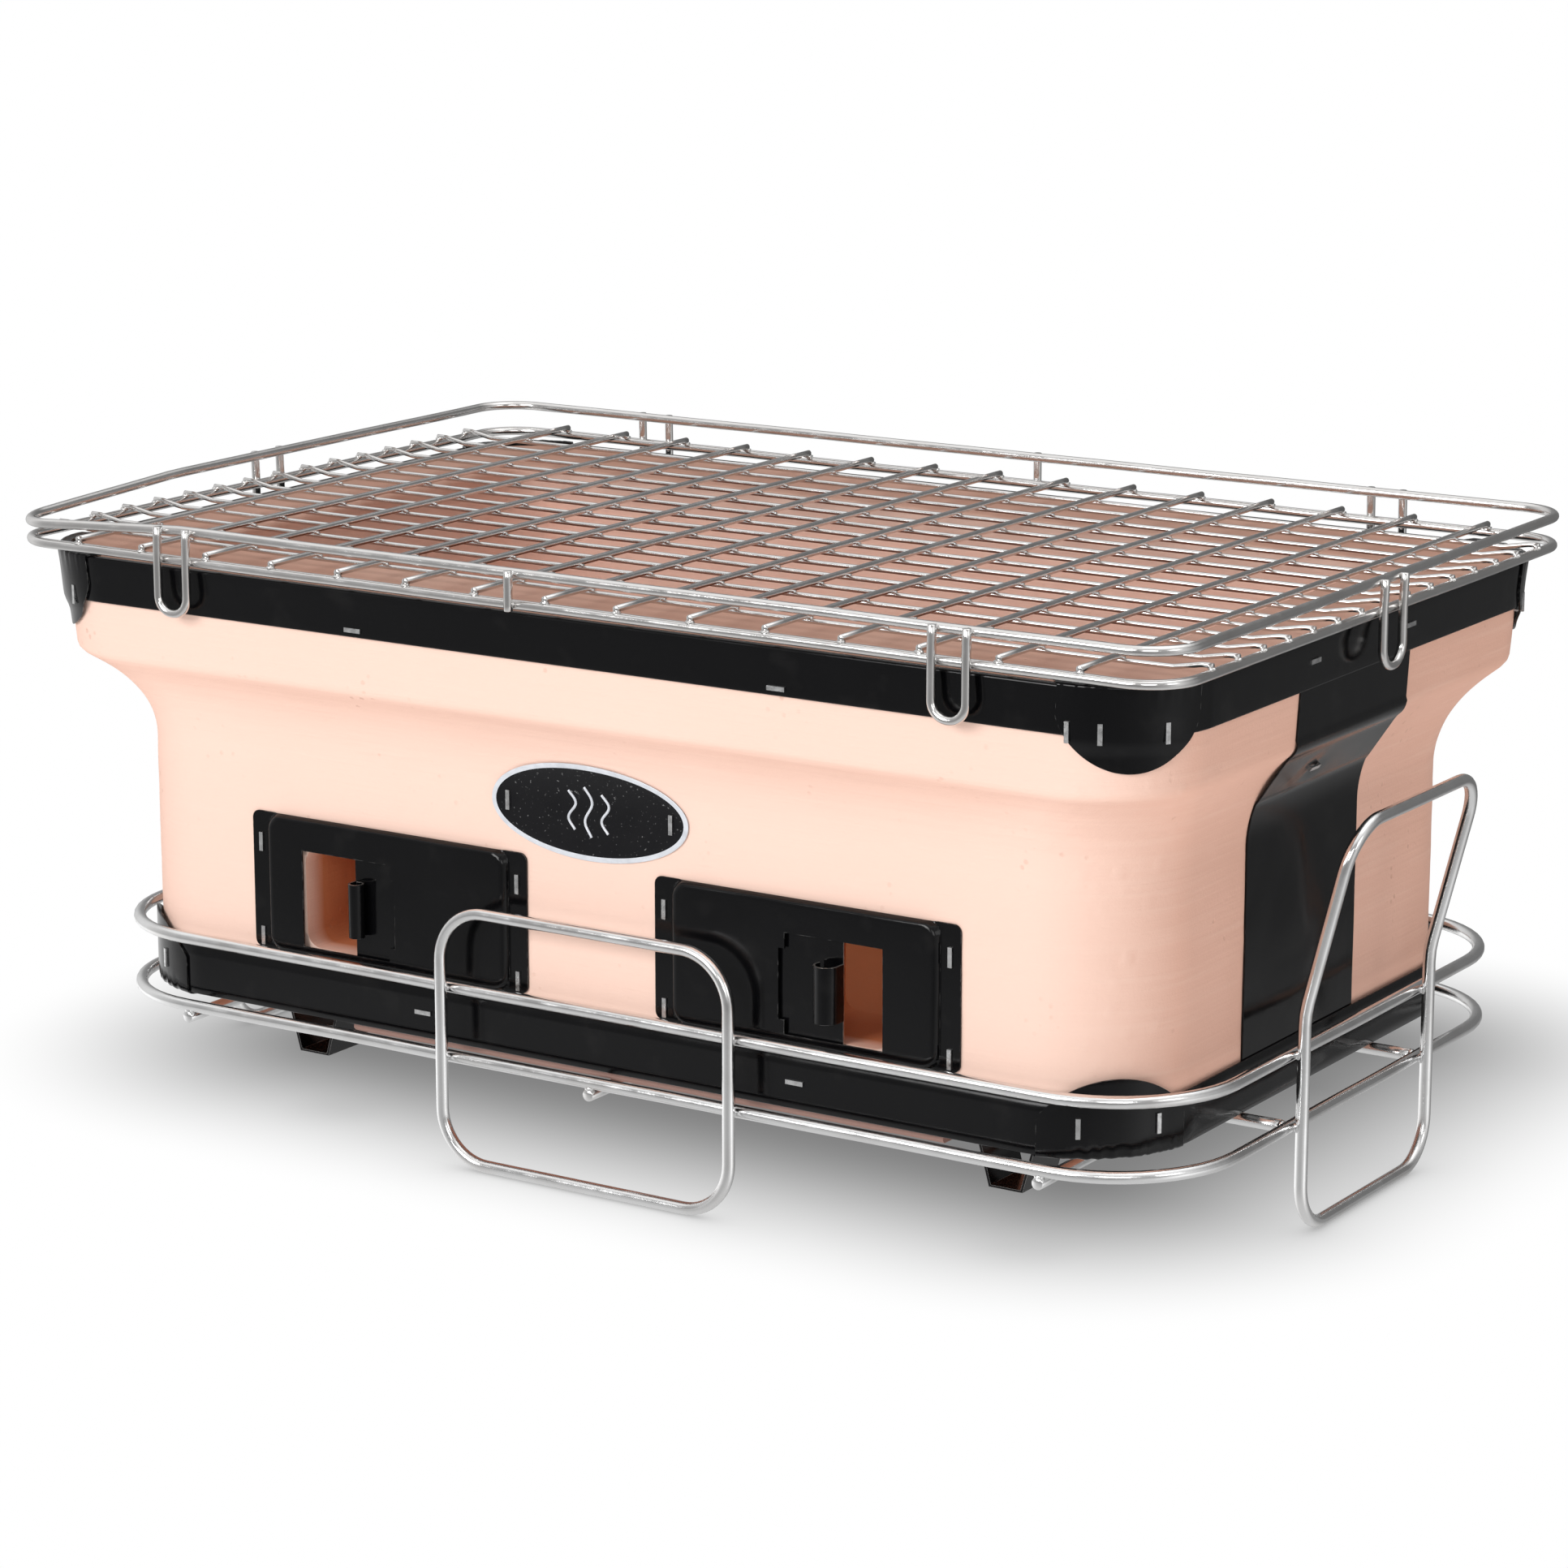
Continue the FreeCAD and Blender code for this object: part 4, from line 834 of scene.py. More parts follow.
def rim_cap(row_name, side_x, side_y):
    """Sheet wrapped round a rim corner: lobed skirt, rounded over the rim, gathered pleats on top."""
    shift = CAP_SHIFT.get(row_name, 0.0)
    columns = cap_columns(CAP_SHOULDER_Z, CAP_HALF_WIDTH, shift, side_x, side_y)
    reach = max(abs(columns[0]), abs(columns[-1]))
    top = CLAY_TOP_Z + 2 * HAIR + 2 * SHEET + CAP_PLEAT
    seed = 2.0 + side_x + 0.5 * side_y
    gathers = [pleats(along, reach, seed) for along in columns]
    inner = CAP_FACE - CAP_BEND
    rows = []

    def add_row(stand_offs, heights):
        spots = [corner_point(CLAY_TOP_Z, stand_off, along, side_x, side_y)[0]
                 for along, stand_off in zip(columns, stand_offs)]
        rows.append([(spot.x, spot.y, z) for spot, z in zip(spots, heights)])

    for share in shares(16):
        line = []
        for along, pleat in zip(columns, gathers):
            across = across_corner(CAP_SHOULDER_Z, along) - shift
            low = arc_height(across, CAP_HALF_WIDTH, CAP_SHOULDER_Z, CAP_TIP_Z)
            z = low + (top - CAP_BEND - low) * share
            gather = pleat * max(0.0, (z - CAP_SHOULDER_Z) / (top - CAP_SHOULDER_Z)) ** 2
            point, outwards = corner_point(z, skirt_stand_off(z) + 0.6 * gather, along, side_x, side_y)
            line.append(point + outwards * wobble(*point, 16.0, 0.35))
        rows.append(line)
    for rise, run in quarter(4):
        add_row([inner + (CAP_BEND + 0.6 * gather) * run for gather in gathers],
                [top - CAP_BEND + (CAP_BEND - CAP_PLEAT * (1 - gather)) * rise for gather in gathers])
    ragged = [0.9 * pleats(along + 31.0, reach + 40, seed + 1) for along in columns]
    for share in shares(4, 1):
        add_row([inner - (CAP_FOLD - CAP_BEND - tear) * share for tear in ragged],
                [top - CAP_PLEAT * (1 - gather) - 0.25 * share for gather in gathers])
    make_cap("rim_cap_" + row_name, rows)


def base_cap(row_name, side_x, side_y):
    """Sheet wrapped round a base corner: crimped under the base, lobed above."""
    columns = cap_columns(BASE_CAP_SHOULDER_Z, BASE_CAP_HALF_WIDTH, 0.0, side_x, side_y)
    reach = abs(columns[0])
    bottom = CLAY_BOTTOM_Z - SHEET
    low = bottom + BASE_CAP_BEND
    seed = 9.0 + side_x + 0.5 * side_y
    crimps = [0.5 * pleats(along, reach, seed) for along in columns]
    inner = CAP_FACE - BASE_CAP_BEND
    rows = []

    def add_row(stand_offs, heights, dent=0.0):
        line = []
        for along, stand_off, z in zip(columns, stand_offs, heights):
            point, outwards = corner_point(max(z, CLAY_BOTTOM_Z), stand_off, along, side_x, side_y)
            point.z = z
            line.append(point + outwards * wobble(*point, 55.0, dent))
        rows.append(line)

    for share in shares(4):
        add_row([inner - (CAP_FOLD - BASE_CAP_BEND) * (1 - share)] * len(columns),
                [bottom + crimp * share for crimp in crimps])
    for rise, run in quarter(4):
        add_row([inner + (BASE_CAP_BEND - crimp) * rise for crimp in crimps],
                [low - BASE_CAP_BEND * run + crimp * run for crimp in crimps])
    lobes = [arc_height(across_corner(BASE_CAP_SHOULDER_Z, along), BASE_CAP_HALF_WIDTH,
                        BASE_CAP_SHOULDER_Z, BASE_CAP_TIP_Z) for along in columns]
    for share in shares(14, 1):
        heights = [low + (high - low) * share for high in lobes]
        add_row([CAP_FACE - crimp * max(0.0, 1 - (z - low) / 6.0) ** 2 for crimp, z in zip(crimps, heights)],
                heights, BAND_DENT)
    make_cap("base_cap_" + row_name, rows)


def make_cap(node, rows):
    points = [tuple(point) for line in rows for point in line]
    cap = enamelled(node + "_pressed", points, grid_faces(len(rows), CAP_COLUMNS + 1), node, 60.0)
    thicken(cap, SHEET - 0.1)


def strap_inset(z):
    """The strap follows the rim, crosses the top of the cove in a straight slope, and follows the wall."""
    landing_z = COVE_END_Z + 16
    bent = clay_inset(z, WALL_INSET_ENDS)
    if z > LIP_Z + 1 or z <= landing_z:
        return bent
    down = (LIP_Z - z) / (LIP_Z - landing_z)
    chord = LIP_INSET + (clay_inset(landing_z, WALL_INSET_ENDS) - LIP_INSET) * down
    return min(chord, bent) - STRAP_LIP_GAP


def end_strap(name, side):
    """Sheet strap down the end wall, under both bands, dented where its staple holds the slope."""
    top = CLAY_TOP_Z - STRAP_TUCK
    bottom = CLAY_BOTTOM_Z + STRAP_END
    rows = [bottom + (top - bottom) * share for share in shares(110)]
    columns = [STRAP_Y + side * STRAP_WIDTH * (share - 0.5) for share in shares(40)]
    points = []
    for z in rows:
        slope = (strap_inset(z - 1.5) - strap_inset(z + 1.5)) / 3
        outer = CLAY_LENGTH / 2 + HAIR - strap_inset(z) + SHEET * math.sqrt(1 + slope ** 2)
        free = math.exp(-((z - 100.0) / 32.0) ** 2)
        for y in columns:
            away = ((y - STRAP_STAPLE_Y) / 7.0) ** 2 + ((z - STRAP_STAPLE_Z) / 4.0) ** 2
            bow = free * abs(wobble(0.0, y, z, 34.0, 0.35)) - STRAP_DENT * math.exp(-away)
            points.append((BODY_X + side * (outer + bow), y, z))
    node = "end_strap_" + name
    thicken(enamelled(node + "_sheet", points, grid_faces(len(rows), len(columns)), node, 40.0), SHEET)


# ---------------------------------------------------------------- vents

WALL_Y = -(CLAY_DEPTH / 2 - WALL_INSET_SIDES)
JOGGLE = 1.5                  # width of the rounded step from flange to panel
PANEL_CORNER = 6.0
FLANGE_CORNER = 3.0
RECESS_GAP = 2.5              # the notch beside the opening is this much taller than the tab, at each end


def rounded_box_depth(x, z, half_x, half_z, corner):
    """Distance inwards from the edge of a rounded rectangle centred at 0; negative outside."""
    over_x = abs(x) - (half_x - corner)
    over_z = abs(z) - (half_z - corner)
    outside = math.hypot(max(over_x, 0.0), max(over_z, 0.0))
    return corner - outside - min(max(over_x, over_z), 0.0)


def vent_plate(name, vent):
    """Pressed plate: a raised panel with rounded shoulders, its opening, and flanges for the staples."""
    node = "vent_plate_" + name
    low, high = [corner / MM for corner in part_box(node)]
    centre_x, centre_z = (low.x + high.x) / 2, (low.z + high.z) / 2
    half_x, half_z = (high.x - low.x) / 2, (high.z - low.z) / 2
    opening = vent["opening"]
    left, right = opening - OPENING_WIDTH / 2, opening + OPENING_WIDTH / 2
    recess_x = opening - vent["side"] * (OPENING_WIDTH / 2 + TAB_RECESS)
    recess = sorted((opening, recess_x))
    tab = TAB_HEIGHT / 2 + RECESS_GAP
    panel_left = centre_x - PANEL_WIDTH / 2
    panel_right = centre_x + PANEL_WIDTH / 2
    xs = spaced(sorted((low.x, panel_left, panel_left + JOGGLE, left, right, recess_x,
                        panel_right - JOGGLE, panel_right, high.x)), 1.2)
    zs = spaced(sorted((low.z, low.z + JOGGLE, OPENING_BOTTOM_Z, TAB_Z - tab, TAB_Z + tab, OPENING_TOP_Z,
                        high.z - JOGGLE, high.z)), 1.2)
    points = []
    for z in zs:
        for x in xs:
            off_x, off_z = x - centre_x, z - centre_z
            inwards = rounded_box_depth(off_x, off_z, PANEL_WIDTH / 2, half_z, PANEL_CORNER)
            climb = ramp(inwards, 0.0, JOGGLE)
            rise = (PANEL_RISE - SHEET) * math.sqrt(1 - (1 - climb) ** 2)
            dish = wobble(x, 0.0, z, 26.0, 0.22) * climb
            pull = 0.7 * max(0.0, -rounded_box_depth(off_x, off_z, half_x, half_z, FLANGE_CORNER))
            points.append((x - math.copysign(pull, off_x), WALL_Y - HAIR - SHEET - rise - dish,
                           z - math.copysign(pull, off_z)))
    faces = []
    columns = len(xs)
    for face in grid_faces(len(zs), columns):
        middle_x = (xs[face[0] % columns] + xs[face[1] % columns]) / 2
        middle_z = (zs[face[0] // columns] + zs[face[2] // columns]) / 2
        in_opening = left < middle_x < right and OPENING_BOTTOM_Z < middle_z < OPENING_TOP_Z
        in_recess = recess[0] < middle_x < recess[1] and TAB_Z - tab < middle_z < TAB_Z + tab
        if not (in_opening or in_recess):
            faces.append(face)
    used = sorted(set(index for face in faces for index in face))
    renumber = {old: new for new, old in enumerate(used)}
    faces = [tuple(renumber[i] for i in face) for face in faces]
    plate = enamelled(node + "_pressed", [points[i] for i in used], faces, node, 60.0)
    thicken(plate, SHEET - 0.1, bevel=0.15)


def vent_door(name, vent):
    """Flat shutter behind the plate with a rolled finger tab whose cut edges are bare."""
    node = "vent_door_" + name
    low, high = [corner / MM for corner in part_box(node)]
    side = vent["side"]
    edge = vent["door_edge"]
    door_y = WALL_Y - DOOR_STAND_OFF

    def add_sheet(part, points, columns, replaced, sharp_angle, bevel):
        faces = grid_faces(len(points) // columns, columns)
        sheet = make_piece(node + part, points, faces, node, [ENAMEL, CUT_EDGE], replaced,
                           sharp_angle)
        thicken(sheet, SHEET, edge_material=1, bevel=bevel)

    xs = spaced(sorted((edge, low.x if side > 0 else high.x)), 2.0)
    zs = spaced((low.z, high.z), 2.0)
    points = [(x, door_y - wobble(x, 3.0, z, 30.0, 0.08), z) for z in zs for x in xs]
    add_sheet("_shutter", points, len(xs), [node], 50.0, 0.15)
    radius, sweep = vent["curl"]
    outer = [(edge, door_y + SHEET / 2), (edge, door_y - 0.5), (edge, door_y - TAB_LEG)]
    for share in shares(int(sweep / 12), 1):
        turn = math.radians(sweep * share)
        outer.append((edge - side * radius * (1 - math.cos(turn)),
                      door_y - TAB_LEG - radius * math.sin(turn)))
    if side > 0:
        outer.reverse()
    heights = spaced((TAB_Z - TAB_HEIGHT / 2, TAB_Z + TAB_HEIGHT / 2), 2.0)
    points = [(x, y, z) for z in heights for x, y in outer]
    add_sheet("_finger_tab", points, len(outer), (), 60.0, 0.12)


# ---------------------------------------------------------------- badge, feet, staples

BADGE_RIM = 1.9
BADGE_SHEET = 0.6
BADGE_AROUND = 96
FIELD_SHARE = 0.86            # the flat field ends at this share of the badge's half height
RIM_RINGS = ((1.0, 0.0), (0.99, 0.12), (0.975, 0.16), (1 - BADGE_RIM / (BADGE_HEIGHT / 2), 0.14))


def badge_face_y(z):
    """Outer face of the badge at height z; the plate is bent to the wall and the start of the cove."""
    return -(CLAY_DEPTH / 2 - clay_inset(z, WALL_INSET_SIDES)) - 0.2 - BADGE_SHEET


def badge():
    """Oval plate with a black field inside a raised silver rim."""
    tall = BADGE_HEIGHT / 2
    wide = BADGE_LENGTH / 2
    field = [(FIELD_SHARE * (1 - i / 9), 0.0) for i in range(9)]
    points = []
    for share, height in (*RIM_RINGS, *field):
        half_x = wide - (1 - share) * tall
        if share < FIELD_SHARE:
            half_x = share / FIELD_SHARE * (wide - (1 - FIELD_SHARE) * tall)
        for i in range(BADGE_AROUND):
            turn = 2 * math.pi * i / BADGE_AROUND
            z = BADGE_Z + share * tall * math.sin(turn)
            points.append((BADGE_X + half_x * math.cos(turn), badge_face_y(z) - height, z))
    last = len(points) - BADGE_AROUND
    faces = grid_faces(len(points) // BADGE_AROUND, BADGE_AROUND, closed_columns=True)
    faces += [(last + i, last + (i + 1) % BADGE_AROUND, len(points)) for i in range(BADGE_AROUND)]
    points.append((BADGE_X, badge_face_y(BADGE_Z), BADGE_Z))
    plate = make_piece("badge_plate_oval", points, faces, "firebox", [BADGE_BLACK, BADGE_SILVER],
                       ["badge_plate"], 60.0)
    for polygon in plate.data.polygons:
        polygon.material_index = 1 if polygon.index < 3 * BADGE_AROUND else 0
    thicken(plate, BADGE_SHEET, bevel=0.1)


def badge_waves():
    """Three plain wavy heat lines, raised on the badge's black field."""
    strokes = []
    for offset, half_height in ((-7.0, 7.0), (0.0, 9.0), (7.0, 7.0)):
        path = []
        for share in shares(28):
            z = BADGE_Z + half_height * (2 * share - 1)
            x = BADGE_X + offset + 1.6 * math.sin((2 * share - 1) * math.pi * 1.25)
            path.append(Vector((x, badge_face_y(z) + 0.1, z)))
        strokes.append(tube(path, 0.55, sides=8))
    merge_tubes("badge_wave_lines", strokes, "firebox", "badge", BADGE_SILVER, ())


def finish_cad_nodes():
    """Feet and staples keep their CAD shape, with softened edges and their own finish."""
    for name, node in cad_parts.items():
        if name.endswith("_staples"):
            material, bevel = STAPLE, 0.22
        elif name.startswith("foot_"):
            material, bevel = WORN_ENAMEL, 0.25
        else:
            continue
        node.data.materials.clear()
        node.data.materials.append(material)
        node.data.shade_smooth()
        node.data.set_sharp_from_angle(angle=math.radians(30))
        soften(node, bevel)


# ---------------------------------------------------------------- wire work

noise.seed_set(1)             # waver draws the same offsets on every run


def corner_arc(before, corner, after, radius, step_degrees=7.5):
    """Points along the arc that rounds a corner."""
    back = (before - corner).normalized()
    ahead = (after - corner).normalized()
    half = back.angle(ahead) / 2
    centre = corner + (back + ahead).normalized() * (radius / math.sin(half))
    reach = radius / math.tan(half)
    start = corner + back * reach - centre
    end = corner + ahead * reach - centre
    swing = start.angle(end)
    return [centre + (start * math.sin((1 - share) * swing) + end * math.sin(share * swing)) / math.sin(swing)
            for share in shares(max(2, math.ceil(math.degrees(swing) / step_degrees)))]


def bent_path(corners, radii, closed, longest=9.0):
    """Points along straight legs with a bend at each corner that has a radius."""
    count = len(corners)
    rounded = []
    for i, corner in enumerate(corners):
        if radii[i] > 0:
            rounded.append(corner_arc(corners[i - 1], corner, corners[(i + 1) % count], radii[i]))
        else:
            rounded.append([corner])
    path = []
    for i, arc in enumerate(rounded):
        path += arc
        if i == count - 1 and not closed:
            break
        gap = rounded[(i + 1) % count][0] - arc[-1]
        pieces = max(1, math.ceil(gap.length / longest))
        path += [arc[-1] + gap * k / pieces for k in range(1, pieces)]
    return path


def straight(start, end, longest=9.0):
    return bent_path([Vector(start), Vector(end)], [0, 0], False, longest)


def waver(path, amount, seed):
    """Hand-bent wire is never quite straight: moves each point by a smooth random amount."""
    return [point + noise.noise_vector(Vector((point.x, point.y, point.z + 37.0 * seed)) / 60.0) * amount
            for point in path]


def tube(path, radius, closed=False, sides=16):
    """Points and faces of a round wire along a path; open ends are cut flat with a broken edge."""
    count = len(path)
    tangents = []
    for i in range(count):
        ahead = path[(i + 1) % count] if closed or i < count - 1 else path[i]
        behind = path[i - 1] if closed or i > 0 else path[i]
        tangents.append((ahead - behind).normalized())
    spare = Z_AXIS if abs(tangents[0].z) < 0.9 else X_AXIS
    side = tangents[0].cross(spare).normalized()
    sections = []
    for point, tangent in zip(path, tangents):
        side = (side - tangent * side.dot(tangent)).normalized()
        sections.append((point, tangent, side, radius))
    if not closed:
        broken = 0.16 * radius
        for place, step in ((0, broken), (-1, -broken)):
            point, tangent, side, _ = sections[place]
            sections[place] = (point + tangent * step, tangent, side, radius)
            sections.insert(place if place == 0 else len(sections), (point, tangent, side, radius - broken))
    points = []
    for point, tangent, across, reach in sections:
        up = tangent.cross(across)
        for k in range(sides):
            turn = 2 * math.pi * k / sides
            points.append(point + (across * math.cos(turn) + up * math.sin(turn)) * reach)
    return points, grid_faces(len(sections), sides, True, closed_rows=closed, capped=not closed)


def merge_tubes(name, tubes, body, slot, material, replaced, welds=(), heat_reach=5.0):
    """One piece from several wires, with the attribute heat raised near its welds."""
    points, faces = [], []
    for tube_points, tube_faces in tubes:
        start = len(points)
        points += [tuple(point) for point in tube_points]
        faces += [tuple(start + index for index in face) for face in tube_faces]
    piece = make_piece(name, points, faces, body, [material], replaced, 50.0)
    if welds:
        tree = kdtree.KDTree(len(welds))
        for i, weld in enumerate(welds):
            tree.insert(weld, i)
        tree.balance()
        near = [tree.find(point)[2] / heat_reach for point in points]
        heat = piece.data.attributes.new("heat", "FLOAT", "POINT")
        heat.data.foreach_set("value", [math.exp(-distance ** 2) for distance in near])


def weld_bead(centre, along, across, size, seed):
    """Small lump of weld metal: a squashed ball with an uneven surface."""
    rings, sides = 5, 10
    up = along.cross(across)
    points = []
    for r in range(1, rings):
        tilt = math.pi * r / rings
        for k in range(sides):
            turn = 2 * math.pi * k / sides
            outwards = across * math.cos(turn) + up * math.sin(turn)
            direction = along * math.cos(tilt) + outwards * math.sin(tilt)
            lump = 1 + 0.22 * noise.noise(direction * 1.7 + Vector((seed * 3.1, 0, 0)))
            reach = sum((axis * direction.dot(axis) * half for axis, half in zip((along, across, up), size)),
                        Vector())
            points.append(centre + reach * lump)
    head = len(points)
    last = head - sides
    faces = grid_faces(rings - 1, sides, closed_columns=True)
    faces += [(head, (k + 1) % sides, k) for k in range(sides)]
    faces += [(last + k, last + (k + 1) % sides, head + 1) for k in range(sides)]
    return points + [centre + along * size[0], centre - along * size[0]], faces


class WireBody:
    """Welded wires of one body: its pieces, and the beads and heat marks where they touch."""

    def __init__(self, body, slot, material, heat_reach):
        self.finish = (body, slot, material)
        self.heat_reach = heat_reach
        self.welds = []
        self.beads = []

    def weld(self, place, along, across, size):
        self.welds.append(Vector(place))
        self.beads.append(weld_bead(self.welds[-1], along, across, size, len(self.beads)))

    def add(self, node, tubes):
        merge_tubes(node + "_round", tubes, *self.finish, [node], self.welds, self.heat_reach)

    def add_beads(self, name):
        merge_tubes(name, self.beads, *self.finish, (), self.welds, self.heat_reach)


def rectangle(length, depth, z, centre_x=0.0):
    x, y = length / 2, depth / 2
    return [Vector((centre_x + side_x * x, side_y * y, z))
            for side_x, side_y in ((-1, -1), (1, -1), (1, 1), (-1, 1))]


def ring(length, depth, corner, z, diameter, centre_x=0.0, seed=0):
    """A closed rounded-rectangle ring of wire, slightly uneven."""
    path = bent_path(rectangle(length, depth, z, centre_x), [corner] * 4, True)
    return tube(waver(path, 0.25, seed), diameter / 2, closed=True)


def row_of(count, pitch, centre=0.0):
    """Places in a row, evenly spaced about its centre."""
    return [centre + (i - (count - 1) / 2) * pitch for i in range(count)]


# ---------------------------------------------------------------- carrier


def carrier():
    loop_y = CARRIER_DEPTH / 2
    loop_x = CARRIER_LENGTH / 2
    stand_off = CARRIER_WIRE - 0.1
    radius = low = CARRIER_WIRE / 2
    wires = WireBody("carrier", "chrome_wire", CARRIER_CHROME, 6.0)
    leg_xs = row_of(2, LEG_WIDTH)
    handle_ys = row_of(2, HANDLE_WIDTH)
    support_ys = row_of(2, SUPPORT_SPREAD)
    cross_xs = row_of(3, CROSS_SPREAD / 2)
    for z in (LOWER_LOOP_Z, UPPER_LOOP_Z):
        for side in (-1, 1):
            spots = [(x, side * (loop_y + stand_off / 2), z) for x in leg_xs]
            spots += [(side * (loop_x + stand_off / 2), y, z) for y in handle_ys]
            for spot in spots:
                wires.weld(spot, Z_AXIS, X_AXIS, (1.7, 1.7, 1.5))
    for x in cross_xs:
        for y in (-loop_y, loop_y, *support_ys):
            wires.weld((x, y, LOWER_LOOP_Z - stand_off / 2), X_AXIS, Y_AXIS, (1.8, 1.8, 1.4))
    for side in (-1, 1):
        for y in support_ys:
            wires.weld((side * (loop_x - radius), y, LOWER_LOOP_Z), Z_AXIS, Y_AXIS, (2.3, 2.6, 1.6))
    for name, z, seed in (("lower", LOWER_LOOP_Z, 1), ("upper", UPPER_LOOP_Z, 2)):
        loop = ring(CARRIER_LENGTH, CARRIER_DEPTH, CARRIER_CORNER, z, CARRIER_WIRE, seed=seed)
        wires.add("carrier_" + name + "_loop", [loop])
    for name, side in (("front", -1), ("back", 1)):
        y = side * (loop_y + stand_off)
        x = LEG_WIDTH / 2
        corners = [Vector((-x, y, low)), Vector((x, y, low)), Vector((x, y, LEG_TOP_Z)),
                   Vector((-x, y, LEG_TOP_Z))]
        wires.add("leg_hoop_" + name, [tube(bent_path(corners, [LEG_CORNER] * 4, True), radius, closed=True)])
    bend = HANDLE_CORNER * 2
    for name, side in (("left", -1), ("right", 1)):
        x = side * (loop_x + stand_off)
        top_x = x + side * HANDLE_LEAN
        y = HANDLE_WIDTH / 2
        corners = [Vector(spot) for spot in ((x, -y, low), (x, y, low), (x, y, HANDLE_BEND_Z),
                                             (top_x, y, HANDLE_TOP_Z), (top_x, -y, HANDLE_TOP_Z),
                                             (x, -y, HANDLE_BEND_Z))]
        radii = [HANDLE_CORNER, HANDLE_CORNER, bend] * 2
        wires.add("handle_hoop_" + name, [tube(bent_path(corners, radii, True), radius, closed=True)])
    reach = loop_x - CARRIER_WIRE + 2.3
    wires.add("carrier_support_wires",
              [tube(straight((-reach, y, LOWER_LOOP_Z), (reach, y, LOWER_LOOP_Z)), radius)
               for y in support_ys])
    reach = loop_y + 1.5
    cross_z = LOWER_LOOP_Z - stand_off
    wires.add("carrier_cross_wires",
              [tube(straight((x, -reach, cross_z), (x, reach, cross_z)), radius) for x in cross_xs])
    wires.add_beads("carrier_weld_beads")


# ---------------------------------------------------------------- cooking grate

CROSS_WIRE_Z = LOOP_Z + (LOOP_WIRE + CROSS_WIRE) / 2
LONG_WIRE_Z = CROSS_WIRE_Z - (LONG_WIRE + CROSS_WIRE) / 2
LONG_WIRE_END_Z = LOOP_Z + (LOOP_WIRE + LONG_WIRE) / 2
HANGER_STAND_OFF = (LOOP_WIRE + HANGER_WIRE) / 2 - 0.3
HANGER_TOP_Z = RAIL_Z + 1.2
UPRIGHT_BEAD = (1.5, 1.4, 1.3)


def hanger(foot_point, rail_point, along, spacing):
    """U of wire from the rail down past the loop."""
    half = along * (spacing / 2)
    low = Vector((*foot_point, HANGER_BOTTOM_Z))
    knee = Vector((*foot_point, LOOP_Z + 1.0))
    rail = Vector((*rail_point, HANGER_TOP_Z))
    corners = [rail - half, knee - half, low - half, low + half, knee + half, rail + half]
    bend = spacing * 0.48
    return tube(bent_path(corners, [0, 6.0, bend, bend, 6.0, 0], False, 4.0), HANGER_WIRE / 2)


def drooped(point):
    """The rail is bent down a little at its front left corner."""
    share_x = ramp(point.x, GRATE_X - FRONT_HANGER_X, GRATE_X - RAIL_LENGTH / 2)
    share_y = ramp(point.y, -60.0, -RAIL_DEPTH / 2)
    return point - Z_AXIS * (RAIL_DROOP * share_x * share_y)


def long_wire(y, seed):
    """Mesh wire that cranks up at each end to lie on the loop."""
    step_end = LOOP_LENGTH / 2 - LOOP_WIRE
    step_start = step_end - LONG_WIRE_CRANK
    half = [(LOOP_LENGTH / 2 + 0.6, LONG_WIRE_END_Z), (step_end, LONG_WIRE_END_Z), (step_start, LONG_WIRE_Z)]
    corners = [Vector((GRATE_X - x, y, z)) for x, z in half]
    corners += [Vector((GRATE_X + x, y, z)) for x, z in reversed(half)]
    path = bent_path(corners, [0, 5.0, 5.0, 5.0, 5.0, 0], False, 15.0)
    return tube(waver(path, 0.30, seed), LONG_WIRE / 2, sides=12)


